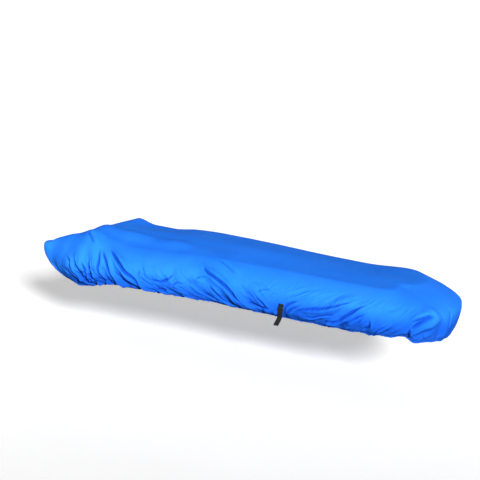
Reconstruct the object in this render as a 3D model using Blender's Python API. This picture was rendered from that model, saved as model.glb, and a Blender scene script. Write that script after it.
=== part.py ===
"""Fitted cover of coated cloth: one elasticated sheet with a sewn-on webbing strap.

Run with: blender --background --python part.py
Metres, +Z up, +X towards the bow end, -Y the near side. The origin lies under the top of the
cover, where it is held. The cloth is a loft of sections round its edge: each section runs from
the middle of the top, over a shoulder, round the widest line and in to the hem.
"""
import math
from collections import namedtuple

import bmesh
import bpy
import numpy as np
from mathutils import Vector
from mathutils.bvhtree import BVHTree

# ---------------------------------------------------------------- driving dimensions
HALF_BEAM = 0.825  # widest line, from the middle
SHOULDER_Y = 0.600  # where the flat top turns down
SHOULDER_Z = -0.038
WIDEST_Z = -0.263
HEM_Z = -0.388
HEM_TUCK = 0.080  # how far the hem lies inside the widest line
BOW_HEM_TUCK = 0.050
STERN_X = -1.720
STERN_Z = -0.186  # tips of the two back corners
STERN_SAG = 0.080  # the cloth between the tips lies this far in and down
STERN_Y = 0.560
STERN_HEM_X = -1.341
STERN_HEM_Z = -0.484
CONE = 0.480  # length of each tapering back corner
BOW_START_X = 1.244
BOW_LENGTH = 0.668
BOW_ROUND = 2.39  # superellipse power of the blunt bow in plan
BOW_SHOULDER = 0.337  # how far the shoulder lies inside the bow's widest line
NEAR_BOW_CUT = 0.160  # the same, more, at the near bow quarter
BOW_TOP_Z = -0.016
BOW_WIDEST_Z = -0.187
BOW_HEM_Z = -0.412
SPINE_START_X = -1.460
SPINE_END_X = 1.120
SHOULDER_SLANT = 0.45  # how directly the cloth falls away from the shoulder
BOW_SLANT = 0.75
TURN_UNDER = math.radians(58)  # how far the skirt curls in from the widest line

CLOTH_THICK = 0.002
HEM_BEAD_R = 0.006  # elastic in its casing
STATIONS = 91  # sections on each side
TOP_ROWS = 4
SHOULDER_ROWS = 5
SKIRT_ROWS = 4
BEAD_STEPS = 5

STRAP_X = 0.520  # top of the strap, along the near side
STRAP_W = 0.040
STRAP_T = 0.0016
STRAP_LEAN = 0.010  # it runs this far aft on its way down to the hem
STRAP_START = 3.0  # degrees below the widest line
STRAP_HEM = 39.0
PATCH_W = 0.046
PATCH_T = 0.0012
PATCH_CLEAR = 0.0009  # the strap over its patch
PATCH_START = 2.0
PATCH_END = 8.5
BUCKLE_AT = 14.5  # degrees below the widest line
BUCKLE_L = 0.036
BUCKLE_W = 0.050
BUCKLE_BAR = 0.004
BUCKLE_T = 0.0020
BUCKLE_LIFT = 0.0006  # clearance between the strap and the bars
SEAT_GAP = 0.0008  # pieces on the cloth clear it by this

# ---------------------------------------------------------------- short tables
Spine = namedtuple("Spine", "x z")
SPINE = (
    Spine(-1.75, -0.240),
    Spine(-1.46, -0.196),
    Spine(-1.40, -0.150),
    Spine(-1.27, -0.014),
    Spine(-1.00, -0.020),
    Spine(-0.70, -0.014),
    Spine(-0.30, -0.002),
    Spine(0.00, 0.002),
    Spine(0.20, 0.000),
    Spine(0.70, -0.010),
    Spine(1.10, -0.018),
    Spine(1.40, -0.036),
    Spine(1.70, -0.038),
)

# Height of each side's shoulder above its plain line, by the place along the side.
Sheer = namedtuple("Sheer", "x near far")
SHEER = (
    Sheer(-1.72, 0.002, -0.046),
    Sheer(-1.56, 0.016, -0.046),
    Sheer(-1.42, 0.038, -0.034),
    Sheer(-1.26, 0.040, 0.016),
    Sheer(-1.08, -0.016, -0.022),
    Sheer(-0.90, -0.042, -0.022),
    Sheer(-0.66, -0.036, 0.010),
    Sheer(-0.40, -0.018, 0.017),
    Sheer(0.10, 0.002, 0.010),
    Sheer(0.60, 0.000, -0.006),
    Sheer(1.00, 0.000, -0.010),
    Sheer(1.36, 0.000, 0.012),
    Sheer(1.70, 0.000, -0.004),
)

# Rise (plus) and drop (minus) of the hem on each side, by metres round the widest line.
HemWave = namedtuple("HemWave", "u near far")
HEM_WAVES = (
    HemWave(0.00, 0.000, 0.000),
    HemWave(0.90, -0.006, 0.004),
    HemWave(1.20, 0.004, -0.006),
    HemWave(1.60, -0.004, 0.006),
    HemWave(2.10, 0.004, -0.004),
    HemWave(2.70, -0.003, 0.005),
    HemWave(3.40, -0.006, -0.005),
    HemWave(3.84, 0.008, 0.008),
    HemWave(3.97, 0.040, 0.002),
    HemWave(4.10, -0.004, -0.010),
    HemWave(4.28, 0.004, 0.006),
    HemWave(4.50, 0.010, -0.004),
    HemWave(4.90, 0.000, 0.000),
)

# Soft tents and hollows of the top, each a line in plan with its reach to both sides.
TopForm = namedtuple("TopForm", "x0 y0 x1 y1 reach height")
TOP_FORMS = (
    TopForm(-1.24, -0.30, -0.98, -0.33, 0.22, 0.020),
    TopForm(-0.98, -0.33, -0.60, -0.36, 0.22, 0.026),
    TopForm(-0.60, -0.36, -0.10, -0.44, 0.20, 0.014),
    TopForm(-0.98, 0.30, -0.70, 0.42, 0.30, -0.010),
    TopForm(0.55, 0.00, 1.05, 0.10, 0.35, -0.008),
)

# A fold runs through three places on the cloth, given as metres round the widest line from the
# middle of the stern (u) and metres down from the shoulder (v). A fold is a ridge with a trough
# on its lower side; a minus height is a trough with a ridge there.
Fold = namedtuple("Fold", "u0 v0 u1 v1 u2 v2 width height")
NEAR_FOLDS = (
    Fold(0.92, 0.24, 1.03, 0.40, 1.02, 0.62, 0.050, 0.012),
    Fold(1.07, 0.24, 1.16, 0.42, 1.12, 0.66, 0.050, 0.014),
    Fold(1.22, 0.16, 1.30, 0.38, 1.24, 0.66, 0.055, 0.020),
    Fold(1.05, 0.00, 1.20, 0.12, 1.28, 0.22, 0.070, 0.008),
    Fold(1.30, 0.14, 1.42, 0.33, 1.38, 0.66, 0.055, 0.021),
    Fold(1.35, 0.10, 1.52, 0.27, 1.70, 0.58, 0.060, 0.028),
    Fold(1.66, 0.36, 1.84, 0.36, 2.02, 0.22, 0.055, -0.014),
    Fold(1.72, 0.40, 1.82, 0.50, 1.88, 0.62, 0.060, 0.012),
    Fold(1.94, 0.34, 2.02, 0.44, 2.06, 0.60, 0.055, 0.012),
    Fold(2.16, 0.12, 2.36, 0.26, 2.66, 0.50, 0.060, 0.026),
    Fold(2.24, 0.28, 2.36, 0.40, 2.48, 0.58, 0.055, 0.014),
    Fold(2.26, 0.00, 2.40, 0.10, 2.54, 0.20, 0.070, 0.006),
    Fold(2.62, 0.24, 2.74, 0.36, 2.86, 0.52, 0.055, 0.014),
    Fold(2.92, 0.48, 3.06, 0.34, 3.22, 0.26, 0.050, 0.014),
    Fold(2.98, 0.50, 3.24, 0.36, 3.56, 0.20, 0.055, 0.020),
    Fold(3.16, 0.54, 3.42, 0.40, 3.66, 0.20, 0.055, 0.018),
    Fold(3.40, 0.58, 3.54, 0.40, 3.68, 0.26, 0.055, 0.014),
    Fold(3.62, 0.58, 3.72, 0.45, 3.84, 0.37, 0.055, 0.012),
    Fold(3.88, 0.58, 4.04, 0.49, 4.32, 0.49, 0.070, 0.020),
    Fold(4.10, 0.52, 4.16, 0.67, 4.26, 0.84, 0.055, -0.016),
    Fold(4.36, 0.46, 4.42, 0.60, 4.48, 0.78, 0.055, 0.014),
)
FAR_FOLDS = (
    Fold(0.98, 0.22, 1.08, 0.42, 1.05, 0.66, 0.055, 0.013),
    Fold(1.20, 0.14, 1.30, 0.36, 1.26, 0.66, 0.060, 0.016),
    Fold(1.32, 0.12, 1.50, 0.30, 1.62, 0.62, 0.060, 0.019),
    Fold(1.80, 0.34, 1.90, 0.46, 1.94, 0.64, 0.060, 0.013),
    Fold(2.04, 0.20, 2.26, 0.34, 2.46, 0.58, 0.060, 0.017),
    Fold(2.60, 0.44, 2.78, 0.34, 2.98, 0.28, 0.060, -0.012),
    Fold(2.92, 0.56, 3.14, 0.38, 3.44, 0.22, 0.055, 0.015),
    Fold(3.30, 0.58, 3.48, 0.40, 3.66, 0.24, 0.055, 0.014),
    Fold(3.74, 0.58, 3.86, 0.42, 4.02, 0.30, 0.060, 0.014),
    Fold(4.12, 0.32, 4.20, 0.48, 4.30, 0.66, 0.060, 0.015),
    Fold(4.46, 0.32, 4.50, 0.48, 4.56, 0.66, 0.055, 0.012),
)

# Soft waves that the elastic draws up in the skirt: repeat, height and where each starts.
Gather = namedtuple("Gather", "repeat height shift")
GATHERS = (
    Gather(0.230, 0.0060, 0.4),
    Gather(0.167, 0.0045, 1.9),
    Gather(0.410, 0.0050, 3.1),
)
GATHER_RISE = 0.20  # how far above the hem the waves begin
HEM_HELD = 0.35  # what the elastic leaves of every fold at the hem itself
HEM_HOLD = 0.07  # how far up it holds them

# Free length of the strap below the hem: steps aft, in under the cover and down.
StrapStep = namedtuple("StrapStep", "aft inward down")
STRAP_TAIL = (
    StrapStep(0.0015, 0.001, 0.012),
    StrapStep(0.0025, -0.001, 0.012),
    StrapStep(0.0045, 0.000, 0.014),
    StrapStep(0.0070, 0.004, 0.017),
    StrapStep(0.0075, 0.010, 0.017),
    StrapStep(0.006, 0.015, 0.012),
    StrapStep(0.005, 0.018, 0.006),
    StrapStep(0.003, 0.020, 0.001),
)


# ---------------------------------------------------------------- helpers
def clear_scene():
    """Start from an empty scene."""
    for old in list(bpy.data.objects):
        bpy.data.objects.remove(old, do_unlink=True)


def material(name, colour, roughness, metallic=0.0):
    """A plain Principled material."""
    made = bpy.data.materials.new(name)
    made.use_nodes = True
    shader = made.node_tree.nodes["Principled BSDF"]
    shader.inputs["Base Color"].default_value = (*colour, 1.0)
    shader.inputs["Roughness"].default_value = roughness
    shader.inputs["Metallic"].default_value = metallic
    return made


def add_object(name, points, faces, surface):
    """One closed mesh object, wound outwards."""
    mesh = bpy.data.meshes.new(name)
    made = bpy.data.objects.new(name, mesh)
    bpy.context.collection.objects.link(made)
    body = bmesh.new()
    verts = [body.verts.new(p) for p in points]
    for face in faces:
        body.faces.new([verts[i] for i in face])
    bmesh.ops.recalc_face_normals(body, faces=body.faces)
    body.to_mesh(mesh)
    body.free()
    mesh.materials.append(surface)
    return made


def smooth(x):
    """0 to 1 with level ends."""
    x = np.clip(x, 0.0, 1.0)
    return x * x * (3.0 - 2.0 * x)


def even_curve(knots, values, at):
    """Shape-keeping cubic through values at rising knots: it never overshoots a row."""
    values = values.reshape(len(knots), -1)
    step = np.diff(knots)[:, None]
    rise = np.diff(values, axis=0) / step
    slope = np.zeros_like(values)
    before, after = rise[:-1], rise[1:]
    keep = before * after > 0
    weight_a = 2 * step[1:] + step[:-1]
    weight_b = step[1:] + 2 * step[:-1]
    safe_a = np.where(keep, before, 1.0)
    safe_b = np.where(keep, after, 1.0)
    mean = (weight_a + weight_b) / (weight_a / safe_a + weight_b / safe_b)
    slope[1:-1] = np.where(keep, mean, 0.0)
    slope[0] = rise[0]
    slope[-1] = rise[-1]
    i = np.clip(np.searchsorted(knots, at, side="right") - 1, 0, len(knots) - 2)
    t = ((at - knots[i]) / step[i, 0])[:, None]
    run = step[i]
    return (
        (1 + 2 * t) * (1 - t) ** 2 * values[i]
        + t * (1 - t) ** 2 * run * slope[i]
        + t * t * (3 - 2 * t) * values[i + 1]
        + t * t * (t - 1) * run * slope[i + 1]
    )


# ---------------------------------------------------------------- the cloth's sections
def stern_sections():
    """Back edge, corner and cone: shoulder, widest and hem point of each, middle outwards."""
    x, y, z = STERN_X, STERN_Y, STERN_Z
    hem_x, hem_z = STERN_HEM_X, STERN_HEM_Z
    top_z = z + 0.008
    return [
        [(x + 0.050 + STERN_SAG, 0.0, top_z - STERN_SAG), (x + STERN_SAG, 0.0, z - STERN_SAG), (hem_x, 0.0, hem_z)],
        [
            (x + 0.050 + STERN_SAG * 0.7, 0.28, top_z - STERN_SAG * 0.7),
            (x + STERN_SAG * 0.7, 0.28, z - STERN_SAG * 0.7 - 0.010),
            (hem_x, 0.32, hem_z),
        ],
        [(x + 0.056, y - 0.03, top_z), (x + 0.004, y - 0.03, z - 0.022), (hem_x, 0.59, hem_z)],
        [(x + 0.066, y + 0.01, top_z), (x + 0.022, y + 0.038, z - 0.030), (hem_x + 0.006, 0.635, hem_z)],
        [(x + 0.14, y, top_z + 0.037), (x + 0.125, y + 0.088, z - 0.095), (hem_x + 0.05, 0.655, hem_z + 0.005)],
        [(x + 0.32, 0.58, -0.094), (x + 0.26, 0.745, WIDEST_Z - 0.060), (hem_x + 0.14, 0.68, hem_z + 0.022)],
        [
            (x + CONE, SHOULDER_Y, SHOULDER_Z),
            (x + CONE, HALF_BEAM, WIDEST_Z),
            (hem_x + 0.30, HALF_BEAM - 0.100, HEM_Z - 0.030),
        ],
    ]


def side_sections():
    """The long straight side."""
    start, hem_start = STERN_X + CONE, STERN_HEM_X + 0.30
    rows = []
    for part in (0.20, 0.45, 0.70, 1.00):
        x = start + (BOW_START_X - start) * part
        hem_x = hem_start + (BOW_START_X - hem_start) * part
        rows.append([
            (x, SHOULDER_Y, SHOULDER_Z),
            (x, HALF_BEAM, WIDEST_Z),
            (hem_x, HALF_BEAM - HEM_TUCK, HEM_Z),
        ])
    return rows


def bow_sections(side):
    """The blunt bow, a superellipse in plan."""
    rows = []
    for turn in (15, 30, 45, 60, 75, 90):
        angle = math.radians(turn)
        part = math.sin(angle)
        ahead = part ** (2 / BOW_ROUND)
        aside = max(math.cos(angle), 0.0) ** (2 / BOW_ROUND) if turn < 90 else 0.0
        out = Vector((BOW_LENGTH * ahead, HALF_BEAM * aside))
        away = Vector((ahead ** (BOW_ROUND - 1) / BOW_LENGTH, aside ** (BOW_ROUND - 1) / HALF_BEAM))
        away.normalize()
        inset = (HALF_BEAM - SHOULDER_Y) * (1 - part) + BOW_SHOULDER * part
        inset += NEAR_BOW_CUT * math.sin(2 * angle) ** 2 if side < 0 else 0.0
        levels = [a * (1 - part) + b * part for a, b in (
            (SHOULDER_Z, BOW_TOP_Z), (WIDEST_Z, BOW_WIDEST_Z), (HEM_Z, BOW_HEM_Z))]
        tuck = HEM_TUCK * (1 - part) + BOW_HEM_TUCK * part
        places = [out - away * inset, out, out - away * tuck]
        rows.append([(BOW_START_X + p.x, max(p.y, 0.0), z) for p, z in zip(places, levels)])
    return rows


def rails(count, side):
    """Shoulder, widest and hem rail of one side, and metres round the widest line."""
    rows = np.array(stern_sections() + side_sections() + bow_sections(side))
    flip = np.array((1.0, -1.0, 1.0))
    rows = np.concatenate([rows[1:2] * flip, rows, rows[-2:-1] * flip])
    around = np.linalg.norm(np.diff(rows[:, 1], axis=0), axis=1)
    under = np.linalg.norm(np.diff(rows[:, 2], axis=0), axis=1)
    knots = np.concatenate([[0.0], np.cumsum(around + 0.35 * under)])
    at = np.linspace(knots[1], knots[-2], count)
    made = even_curve(knots, rows, at).reshape(count, 3, 3)
    steps = np.linalg.norm(np.diff(made[:, 1], axis=0), axis=1)
    return made, np.concatenate([[0.0], np.cumsum(steps)])


def curve_of(table, column, at):
    """A table column as a smooth curve over the table's first column."""
    knots = np.array([row[0] for row in table])
    values = np.array([getattr(row, column) for row in table])
    return even_curve(knots, values, np.clip(at, knots[0], knots[-1]))[:, 0]


def plain_side(side, count, top_rows, shoulder_rows, skirt_rows):
    """Unfolded cloth of one side as a grid: sections by rows, middle of the top to the hem."""
    made, around = rails(count, side)
    shoulder, widest, hem = made[:, 0], made[:, 1], made[:, 2]
    which = "near" if side < 0 else "far"
    lift = curve_of(SHEER, which, shoulder[:, 0]) * smooth((shoulder[:, 1] - 0.35) / 0.2)
    at_stern = smooth((-1.40 - widest[:, 0]) / 0.2)
    shoulder[:, 2] += lift
    widest[:, 2] += lift * at_stern
    hem[:, 2] += curve_of(HEM_WAVES, which, around)
    to_bow = smooth((widest[:, 0] - BOW_START_X) / (0.6 * BOW_LENGTH))
    slant = SHOULDER_SLANT + (BOW_SLANT - SHOULDER_SLANT) * to_bow
    spine = rails(count, 1)[0][:, 0]
    spine[:, 1] = 0.0
    spine[:, 0] = np.clip(spine[:, 0], SPINE_START_X, SPINE_END_X)
    spine[:, 2] = curve_of(SPINE, "z", spine[:, 0])
    grid = []
    for part in np.linspace(0, 1, top_rows + 1)[:-1]:
        ease = 0.7 * (0.5 - 0.5 * math.cos(math.pi * part)) + 0.3 * part
        row = spine * (1 - part) + shoulder * part
        row[:, 2] = spine[:, 2] * (1 - ease) + shoulder[:, 2] * ease
        row[:, 2] += top_height(row, side)
        grid.append(row)
    shoulder[:, 2] += top_height(shoulder, side)
    for turn in np.linspace(0, math.pi / 2, shoulder_rows + 1)[:-1]:
        part = turn / (math.pi / 2)
        fall = (1 - slant) * (1 - math.cos(turn)) + slant * part
        row = shoulder + (widest - shoulder) * math.sin(turn)
        row[:, 2] = shoulder[:, 2] + (widest - shoulder)[:, 2] * fall
        grid.append(row)
    for turn in np.linspace(0, TURN_UNDER, skirt_rows + 1):
        inward = (1 - math.cos(turn)) / (1 - math.cos(TURN_UNDER))
        down = math.sin(turn) / math.sin(TURN_UNDER)
        row = widest + (hem - widest) * inward
        row[:, 2] = widest[:, 2] + (hem - widest)[:, 2] * down
        grid.append(row)
    grid = np.array(grid).transpose(1, 0, 2)
    grid[..., 1] *= side
    return grid, around


def top_height(row, side):
    """Height that the tents and hollows add to one row of the top."""
    height = np.zeros(len(row))
    for form in TOP_FORMS:
        start = np.array((form.x0, form.y0))
        way = np.array((form.x1, form.y1)) - start
        offset = row[:, :2] * (1, side) - start
        part = np.clip(offset @ way / (way @ way), 0.0, 1.0)
        miss = np.linalg.norm(offset - part[..., None] * way, axis=-1)
        height += form.height * (1.0 - smooth(miss / form.reach))
    return height


def fold_height(fold, u, v):
    """Height of one fold over the cloth."""
    places = np.array([(fold.u0, fold.v0), (fold.u1, fold.v1), (fold.u2, fold.v2)])
    runs = np.linalg.norm(np.diff(places, axis=0), axis=1)
    here = np.stack([u, v], axis=-1)
    best = np.full(u.shape, np.inf)
    across = np.zeros(u.shape)
    along = np.zeros(u.shape)
    for i in range(2):
        way = (places[i + 1] - places[i]) / runs[i]
        offset = here - places[i]
        reach = np.clip(offset @ way, 0.0, runs[i])
        miss = offset - reach[..., None] * way
        far = np.linalg.norm(miss, axis=-1)
        lower = way[0] * offset[..., 1] - way[1] * offset[..., 0]
        nearer = far < best
        best = np.where(nearer, far, best)
        across = np.where(nearer, np.copysign(far, lower), across)
        along = np.where(nearer, reach + runs[0] * i, along)
    if fold.u2 < fold.u0:
        across = -across
    t = across / fold.width
    shape = np.exp(-t * t) - 0.65 * np.exp(-((t - 1.35) ** 2) * 1.3)
    part = along / runs.sum()
    return fold.height * shape * smooth(part / 0.4 + 0.15) * smooth((1 - part) / 0.3 + 0.15)


def gather_height(side, u, v, hem_v):
    """Waves that grow towards the hem."""
    rise = smooth((v - hem_v + GATHER_RISE) / GATHER_RISE)
    wave = np.zeros(u.shape)
    for g in GATHERS:
        wave += g.height * np.sin(2 * math.pi * u / g.repeat + g.shift + 1.3 * side + 2.0 * v)
    swell = 0.7 + 0.3 * np.sin(1.7 * u + side)
    return wave * rise * swell


def hem_hold(v, hem_v):
    """Share of every fold that the taut hem leaves."""
    return HEM_HELD + (1.0 - HEM_HELD) * smooth((hem_v - v) / HEM_HOLD)


def folded_side(side):
    """Folded cloth of one side."""
    grid, around = plain_side(side, STATIONS, TOP_ROWS, SHOULDER_ROWS, SKIRT_ROWS)
    down = np.linalg.norm(np.diff(grid, axis=1), axis=2)
    v = np.concatenate([np.zeros((STATIONS, 1)), np.cumsum(down, axis=1)], axis=1)
    v = v - v[:, TOP_ROWS : TOP_ROWS + 1]
    u = np.repeat(around[:, None], grid.shape[1], axis=1)
    hem_v = v[:, -1:]
    height = gather_height(side, u, v, hem_v)
    for fold in NEAR_FOLDS if side < 0 else FAR_FOLDS:
        height = height + fold_height(fold, u, v)
    total = around[-1]
    ends = smooth(u / 0.35) * smooth((total - u) / 0.25)
    height = height * smooth((v + 0.16) / 0.16) * ends * hem_hold(v, hem_v)
    return grid + outward(grid, side) * height[..., None]


def outward(grid, side):
    """Unit normals of a grid, pointing out of the cover."""
    round_way = np.gradient(grid, axis=0)
    down_way = np.gradient(grid, axis=1)
    normal = np.cross(round_way, down_way) * side
    size = np.linalg.norm(normal, axis=-1, keepdims=True)
    normal = normal / np.maximum(size, 1e-9)
    normal[:, 0] = (0.0, 0.0, 1.0)
    return normal


# ---------------------------------------------------------------- pieces
def build_cloth(surface):
    """The whole cover: top, sides, skirt and hem bead as one closed sheet."""
    far = folded_side(1)
    near = folded_side(-1)
    ring = np.concatenate([far, near[-2:0:-1]])
    count, rows = ring.shape[:2]
    round_way = np.roll(ring, -1, axis=0) - np.roll(ring, 1, axis=0)
    down_way = np.gradient(ring, axis=1)
    normal = np.cross(round_way, down_way)
    normal /= np.maximum(np.linalg.norm(normal, axis=-1, keepdims=True), 1e-9)
    normal[:, 0] = (0.0, 0.0, 1.0)
    inner = ring - normal * CLOTH_THICK
    edge = ring[:, -1] - normal[:, -1] * CLOTH_THICK / 2
    fall = ring[:, -1] - ring[:, -2]
    fall /= np.linalg.norm(fall, axis=-1, keepdims=True)
    middle = edge + fall * HEM_BEAD_R
    loops = [ring[:, k] for k in range(rows)]
    for step in range(BEAD_STEPS):
        turn = math.pi * (0.25 + 1.5 * step / (BEAD_STEPS - 1)) - math.pi
        loops.append(middle + HEM_BEAD_R * (fall * math.cos(turn) - normal[:, -1] * math.sin(turn)))
    loops += [inner[:, k] for k in range(rows - 1, -1, -1)]
    points = []
    seen = {}
    index = []
    for loop in loops:
        row = []
        for p in loop:
            key = tuple(np.round(p, 6))
            if key not in seen:
                seen[key] = len(points)
                points.append(tuple(p))
            row.append(seen[key])
        index.append(row)
    faces = []
    for k, (a, b) in enumerate(zip(index[:-1], index[1:])):
        for i in range(count):
            j = (i + 1) % count
            pair = ((a[i], a[j], b[j]), (a[i], b[j], b[i]))
            if k >= rows + BEAD_STEPS:  # the inside is split like the outside
                pair = ((a[i], a[j], b[i]), (a[j], b[j], b[i]))
            for tri in pair:
                if len(set(tri)) == 3:
                    faces.append(tri)
    return add_object("cover_cloth", points, faces, surface)


def reach_at(tree, x, angle):
    """How far the cloth lies from the near shoulder's axis, at degrees below the widest line."""
    axis = Vector((x, -SHOULDER_Y, WIDEST_Z))
    turn = math.radians(angle)
    way = Vector((0.0, -math.cos(turn), -math.sin(turn)))
    hit = tree.ray_cast(axis + way * 0.6, -way)[0]
    return (hit - axis).length


def seated_run(tree, angles, width):
    """Middle points and outward directions of a taut band laid on the near side."""
    reach = []
    places = []
    for angle in angles:
        drop = (angle - STRAP_START) / (STRAP_HEM - STRAP_START)
        x = STRAP_X - STRAP_LEAN * drop
        places.append(x)
        reach.append(max(reach_at(tree, x + side * width / 2, angle) for side in (-1, -0.5, 0, 0.5, 1)))
    padded = [reach[0], *reach, reach[-1]]
    tight = [max(padded[i : i + 3]) for i in range(len(reach))]
    padded = [tight[0], *tight, tight[-1]]
    even = [sum(padded[i : i + 3]) / 3 for i in range(len(reach))]
    run = []
    for x, angle, far in zip(places, angles, even):
        turn = math.radians(angle)
        way = Vector((0.0, -math.cos(turn), -math.sin(turn)))
        run.append((Vector((x, -SHOULDER_Y, WIDEST_Z)) + way * far, way))
    return run


def band(name, run, width, low, thick, surface):
    """A flat strip along a run, its underside at a given height over the run."""
    middles = [place + way * low for place, way in run]
    points = []
    for i, (middle, (_, way)) in enumerate(zip(middles, run)):
        before, after = middles[max(i - 1, 0)], middles[min(i + 1, len(middles) - 1)]
        along = (after - before).normalized()
        across = along.cross(way).normalized()
        up = across.cross(along).normalized()
        for side, lift in ((-1, 0), (1, 0), (1, 1), (-1, 1)):
            points.append(middle + across * side * width / 2 + up * lift * thick)
    faces = [(0, 1, 2), (0, 2, 3)]
    for i in range(len(run) - 1):
        for k in range(4):
            a, b = 4 * i + k, 4 * i + (k + 1) % 4
            c, d = b + 4, a + 4
            faces += [(a, b, d), (b, c, d)] if k == 2 else [(a, b, c), (a, c, d)]
    end = 4 * (len(run) - 1)
    faces += [(end, end + 2, end + 1), (end, end + 3, end + 2)]
    return add_object(name, points, faces, surface)


def over_the_bar(run, angles):
    """The run with its rise over the buckle's middle bar."""
    rise = STRAP_T + BUCKLE_T + 2 * BUCKLE_LIFT
    half = BUCKLE_BAR / 2 + 0.0005
    climb = BUCKLE_L / 2 - BUCKLE_BAR - half - 0.002
    made = []
    for (place, way), angle in zip(run, angles):
        off = abs(math.radians(angle - BUCKLE_AT)) * (HALF_BEAM - SHOULDER_Y)
        made.append((place + way * rise * (1.0 - float(smooth((off - half) / climb))), way))
    return made


def strap_angles():
    """Degrees below the widest line at each section of the strap, down to the hem."""
    count = 45
    return [STRAP_START + (STRAP_HEM - STRAP_START) * i / (count - 1) for i in range(count)]


def build_strap(laid, webbing):
    """The webbing: sewn at its top, threaded through the buckle, hanging free below the hem."""
    run = over_the_bar(laid, strap_angles())
    low = SEAT_GAP + PATCH_T + PATCH_CLEAR
    tail = [run[-1][0] + run[-1][1] * 0.002]
    run[-1] = (tail[0], run[-1][1])
    for step in STRAP_TAIL:
        tail.append(tail[-1] + Vector((-step.aft, step.inward, -step.down)))
    for i in range(1, len(tail)):
        along = (tail[min(i + 1, len(tail) - 1)] - tail[i - 1]).normalized()
        run.append((tail[i], along.cross(Vector((1.0, 0.0, 0.0))).normalized()))
    return band("strap_webbing", run, STRAP_W, low, STRAP_T, webbing)


def build_patch(tree, webbing):
    """The sewn patch that holds the strap's top."""
    angles = [PATCH_START + (PATCH_END - PATCH_START) * i / 6 for i in range(7)]
    return band("strap_patch", seated_run(tree, angles, PATCH_W), PATCH_W, SEAT_GAP, PATCH_T, webbing)


def build_buckle(laid, plastic):
    """Three-bar slider: the strap runs under both end bars and over the middle one."""
    reach = math.degrees((BUCKLE_L - BUCKLE_BAR) / 2 / (HALF_BEAM - SHOULDER_Y))
    angles = strap_angles()
    ends = [min(range(len(angles)), key=lambda i: abs(angles[i] - BUCKLE_AT - off)) for off in (-reach, reach)]
    upper, lower = (laid[i][0] for i in ends)
    place = (upper + lower) / 2
    down = (lower - upper).normalized()
    across = Vector((1.0, 0.0, 0.0))
    way = down.cross(across).normalized()
    across = way.cross(down)
    low = SEAT_GAP + PATCH_T + PATCH_CLEAR + STRAP_T + BUCKLE_LIFT
    half_l, half_w, half_bar = BUCKLE_L / 2, BUCKLE_W / 2, BUCKLE_BAR / 2
    inside_w = STRAP_W / 2 + 0.0010
    rows = (-half_l, -half_l + BUCKLE_BAR, -half_bar, half_bar, half_l - BUCKLE_BAR, half_l)
    lines = (-half_w, -inside_w, inside_w, half_w)
    points = []
    for level in (low, low + BUCKLE_T):
        for along in rows:
            points += [place + down * along + across * aside + way * level for aside in lines]
    layer = len(rows) * len(lines)
    solid = {(r, c) for r in range(5) for c in range(3) if c != 1 or r % 2 == 0}
    faces = []
    for r, c in sorted(solid):
        a = r * 4 + c
        corners = (a, a + 1, a + 5, a + 4)
        faces.append(corners[::-1])
        faces.append(tuple(i + layer for i in corners))
        walls = (((r - 1, c), (a, a + 1)), ((r, c + 1), (a + 1, a + 5)),
                 ((r + 1, c), (a + 5, a + 4)), ((r, c - 1), (a + 4, a)))
        for beside, (i, j) in walls:
            if beside not in solid:
                faces.append((i, j, j + layer, i + layer))
    return add_object("strap_buckle", points, faces, plastic)


def main():
    """Build every piece."""
    clear_scene()
    cloth_blue = material("coated_cloth_blue", (0.030, 0.210, 0.880), 0.55)
    webbing = material("webbing_black", (0.010, 0.012, 0.014), 0.80)
    plastic = material("plastic_black", (0.012, 0.016, 0.018), 0.40)
    cloth = build_cloth(cloth_blue)
    shape = bmesh.new()
    shape.from_mesh(cloth.data)
    tree = BVHTree.FromBMesh(shape)
    shape.free()
    laid = seated_run(tree, strap_angles(), STRAP_W)
    build_patch(tree, webbing)
    build_strap(laid, webbing)
    build_buckle(laid, plastic)


main()
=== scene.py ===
"""Fitted cover of coated cloth, as it hangs: fine folds, gathered hem and webbing strap.

The cloth is one sheet made from sections round its edge. Places on it are given as metres round
the widest line from the middle of the stern (u) and metres down from the shoulder (v).
"""

import math
import random
from collections import namedtuple

import bmesh
import bpy
import numpy as np
from mathutils import Matrix, Vector, noise
from mathutils.bvhtree import BVHTree


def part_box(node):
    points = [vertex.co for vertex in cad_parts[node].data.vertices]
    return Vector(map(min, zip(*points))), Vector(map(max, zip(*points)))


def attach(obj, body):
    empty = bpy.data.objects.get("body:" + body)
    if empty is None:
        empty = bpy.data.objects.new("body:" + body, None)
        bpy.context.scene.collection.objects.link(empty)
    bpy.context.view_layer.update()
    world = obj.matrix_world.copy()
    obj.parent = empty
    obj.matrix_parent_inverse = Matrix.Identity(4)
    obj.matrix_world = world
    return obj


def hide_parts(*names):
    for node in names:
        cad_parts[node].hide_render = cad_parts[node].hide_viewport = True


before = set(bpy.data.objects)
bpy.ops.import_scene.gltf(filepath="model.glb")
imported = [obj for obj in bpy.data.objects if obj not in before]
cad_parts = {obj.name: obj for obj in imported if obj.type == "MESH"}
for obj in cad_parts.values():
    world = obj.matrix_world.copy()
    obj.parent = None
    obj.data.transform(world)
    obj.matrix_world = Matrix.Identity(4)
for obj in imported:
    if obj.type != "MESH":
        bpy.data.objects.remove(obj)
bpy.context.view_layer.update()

# ---------------------------------------------------------------- camera
IMAGE_SIZE = 480.0
FOCAL_PIXELS = 1236.3
SENSOR = 36.0
VIEW_TURN = 13.5  # degrees towards the bow from straight on
VIEW_RISE = 9.4
VIEW_ROLL = 8.327
VIEW_DISTANCE = 11.0
VIEW_TARGET = (-0.101, 0.0, 0.047)

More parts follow.
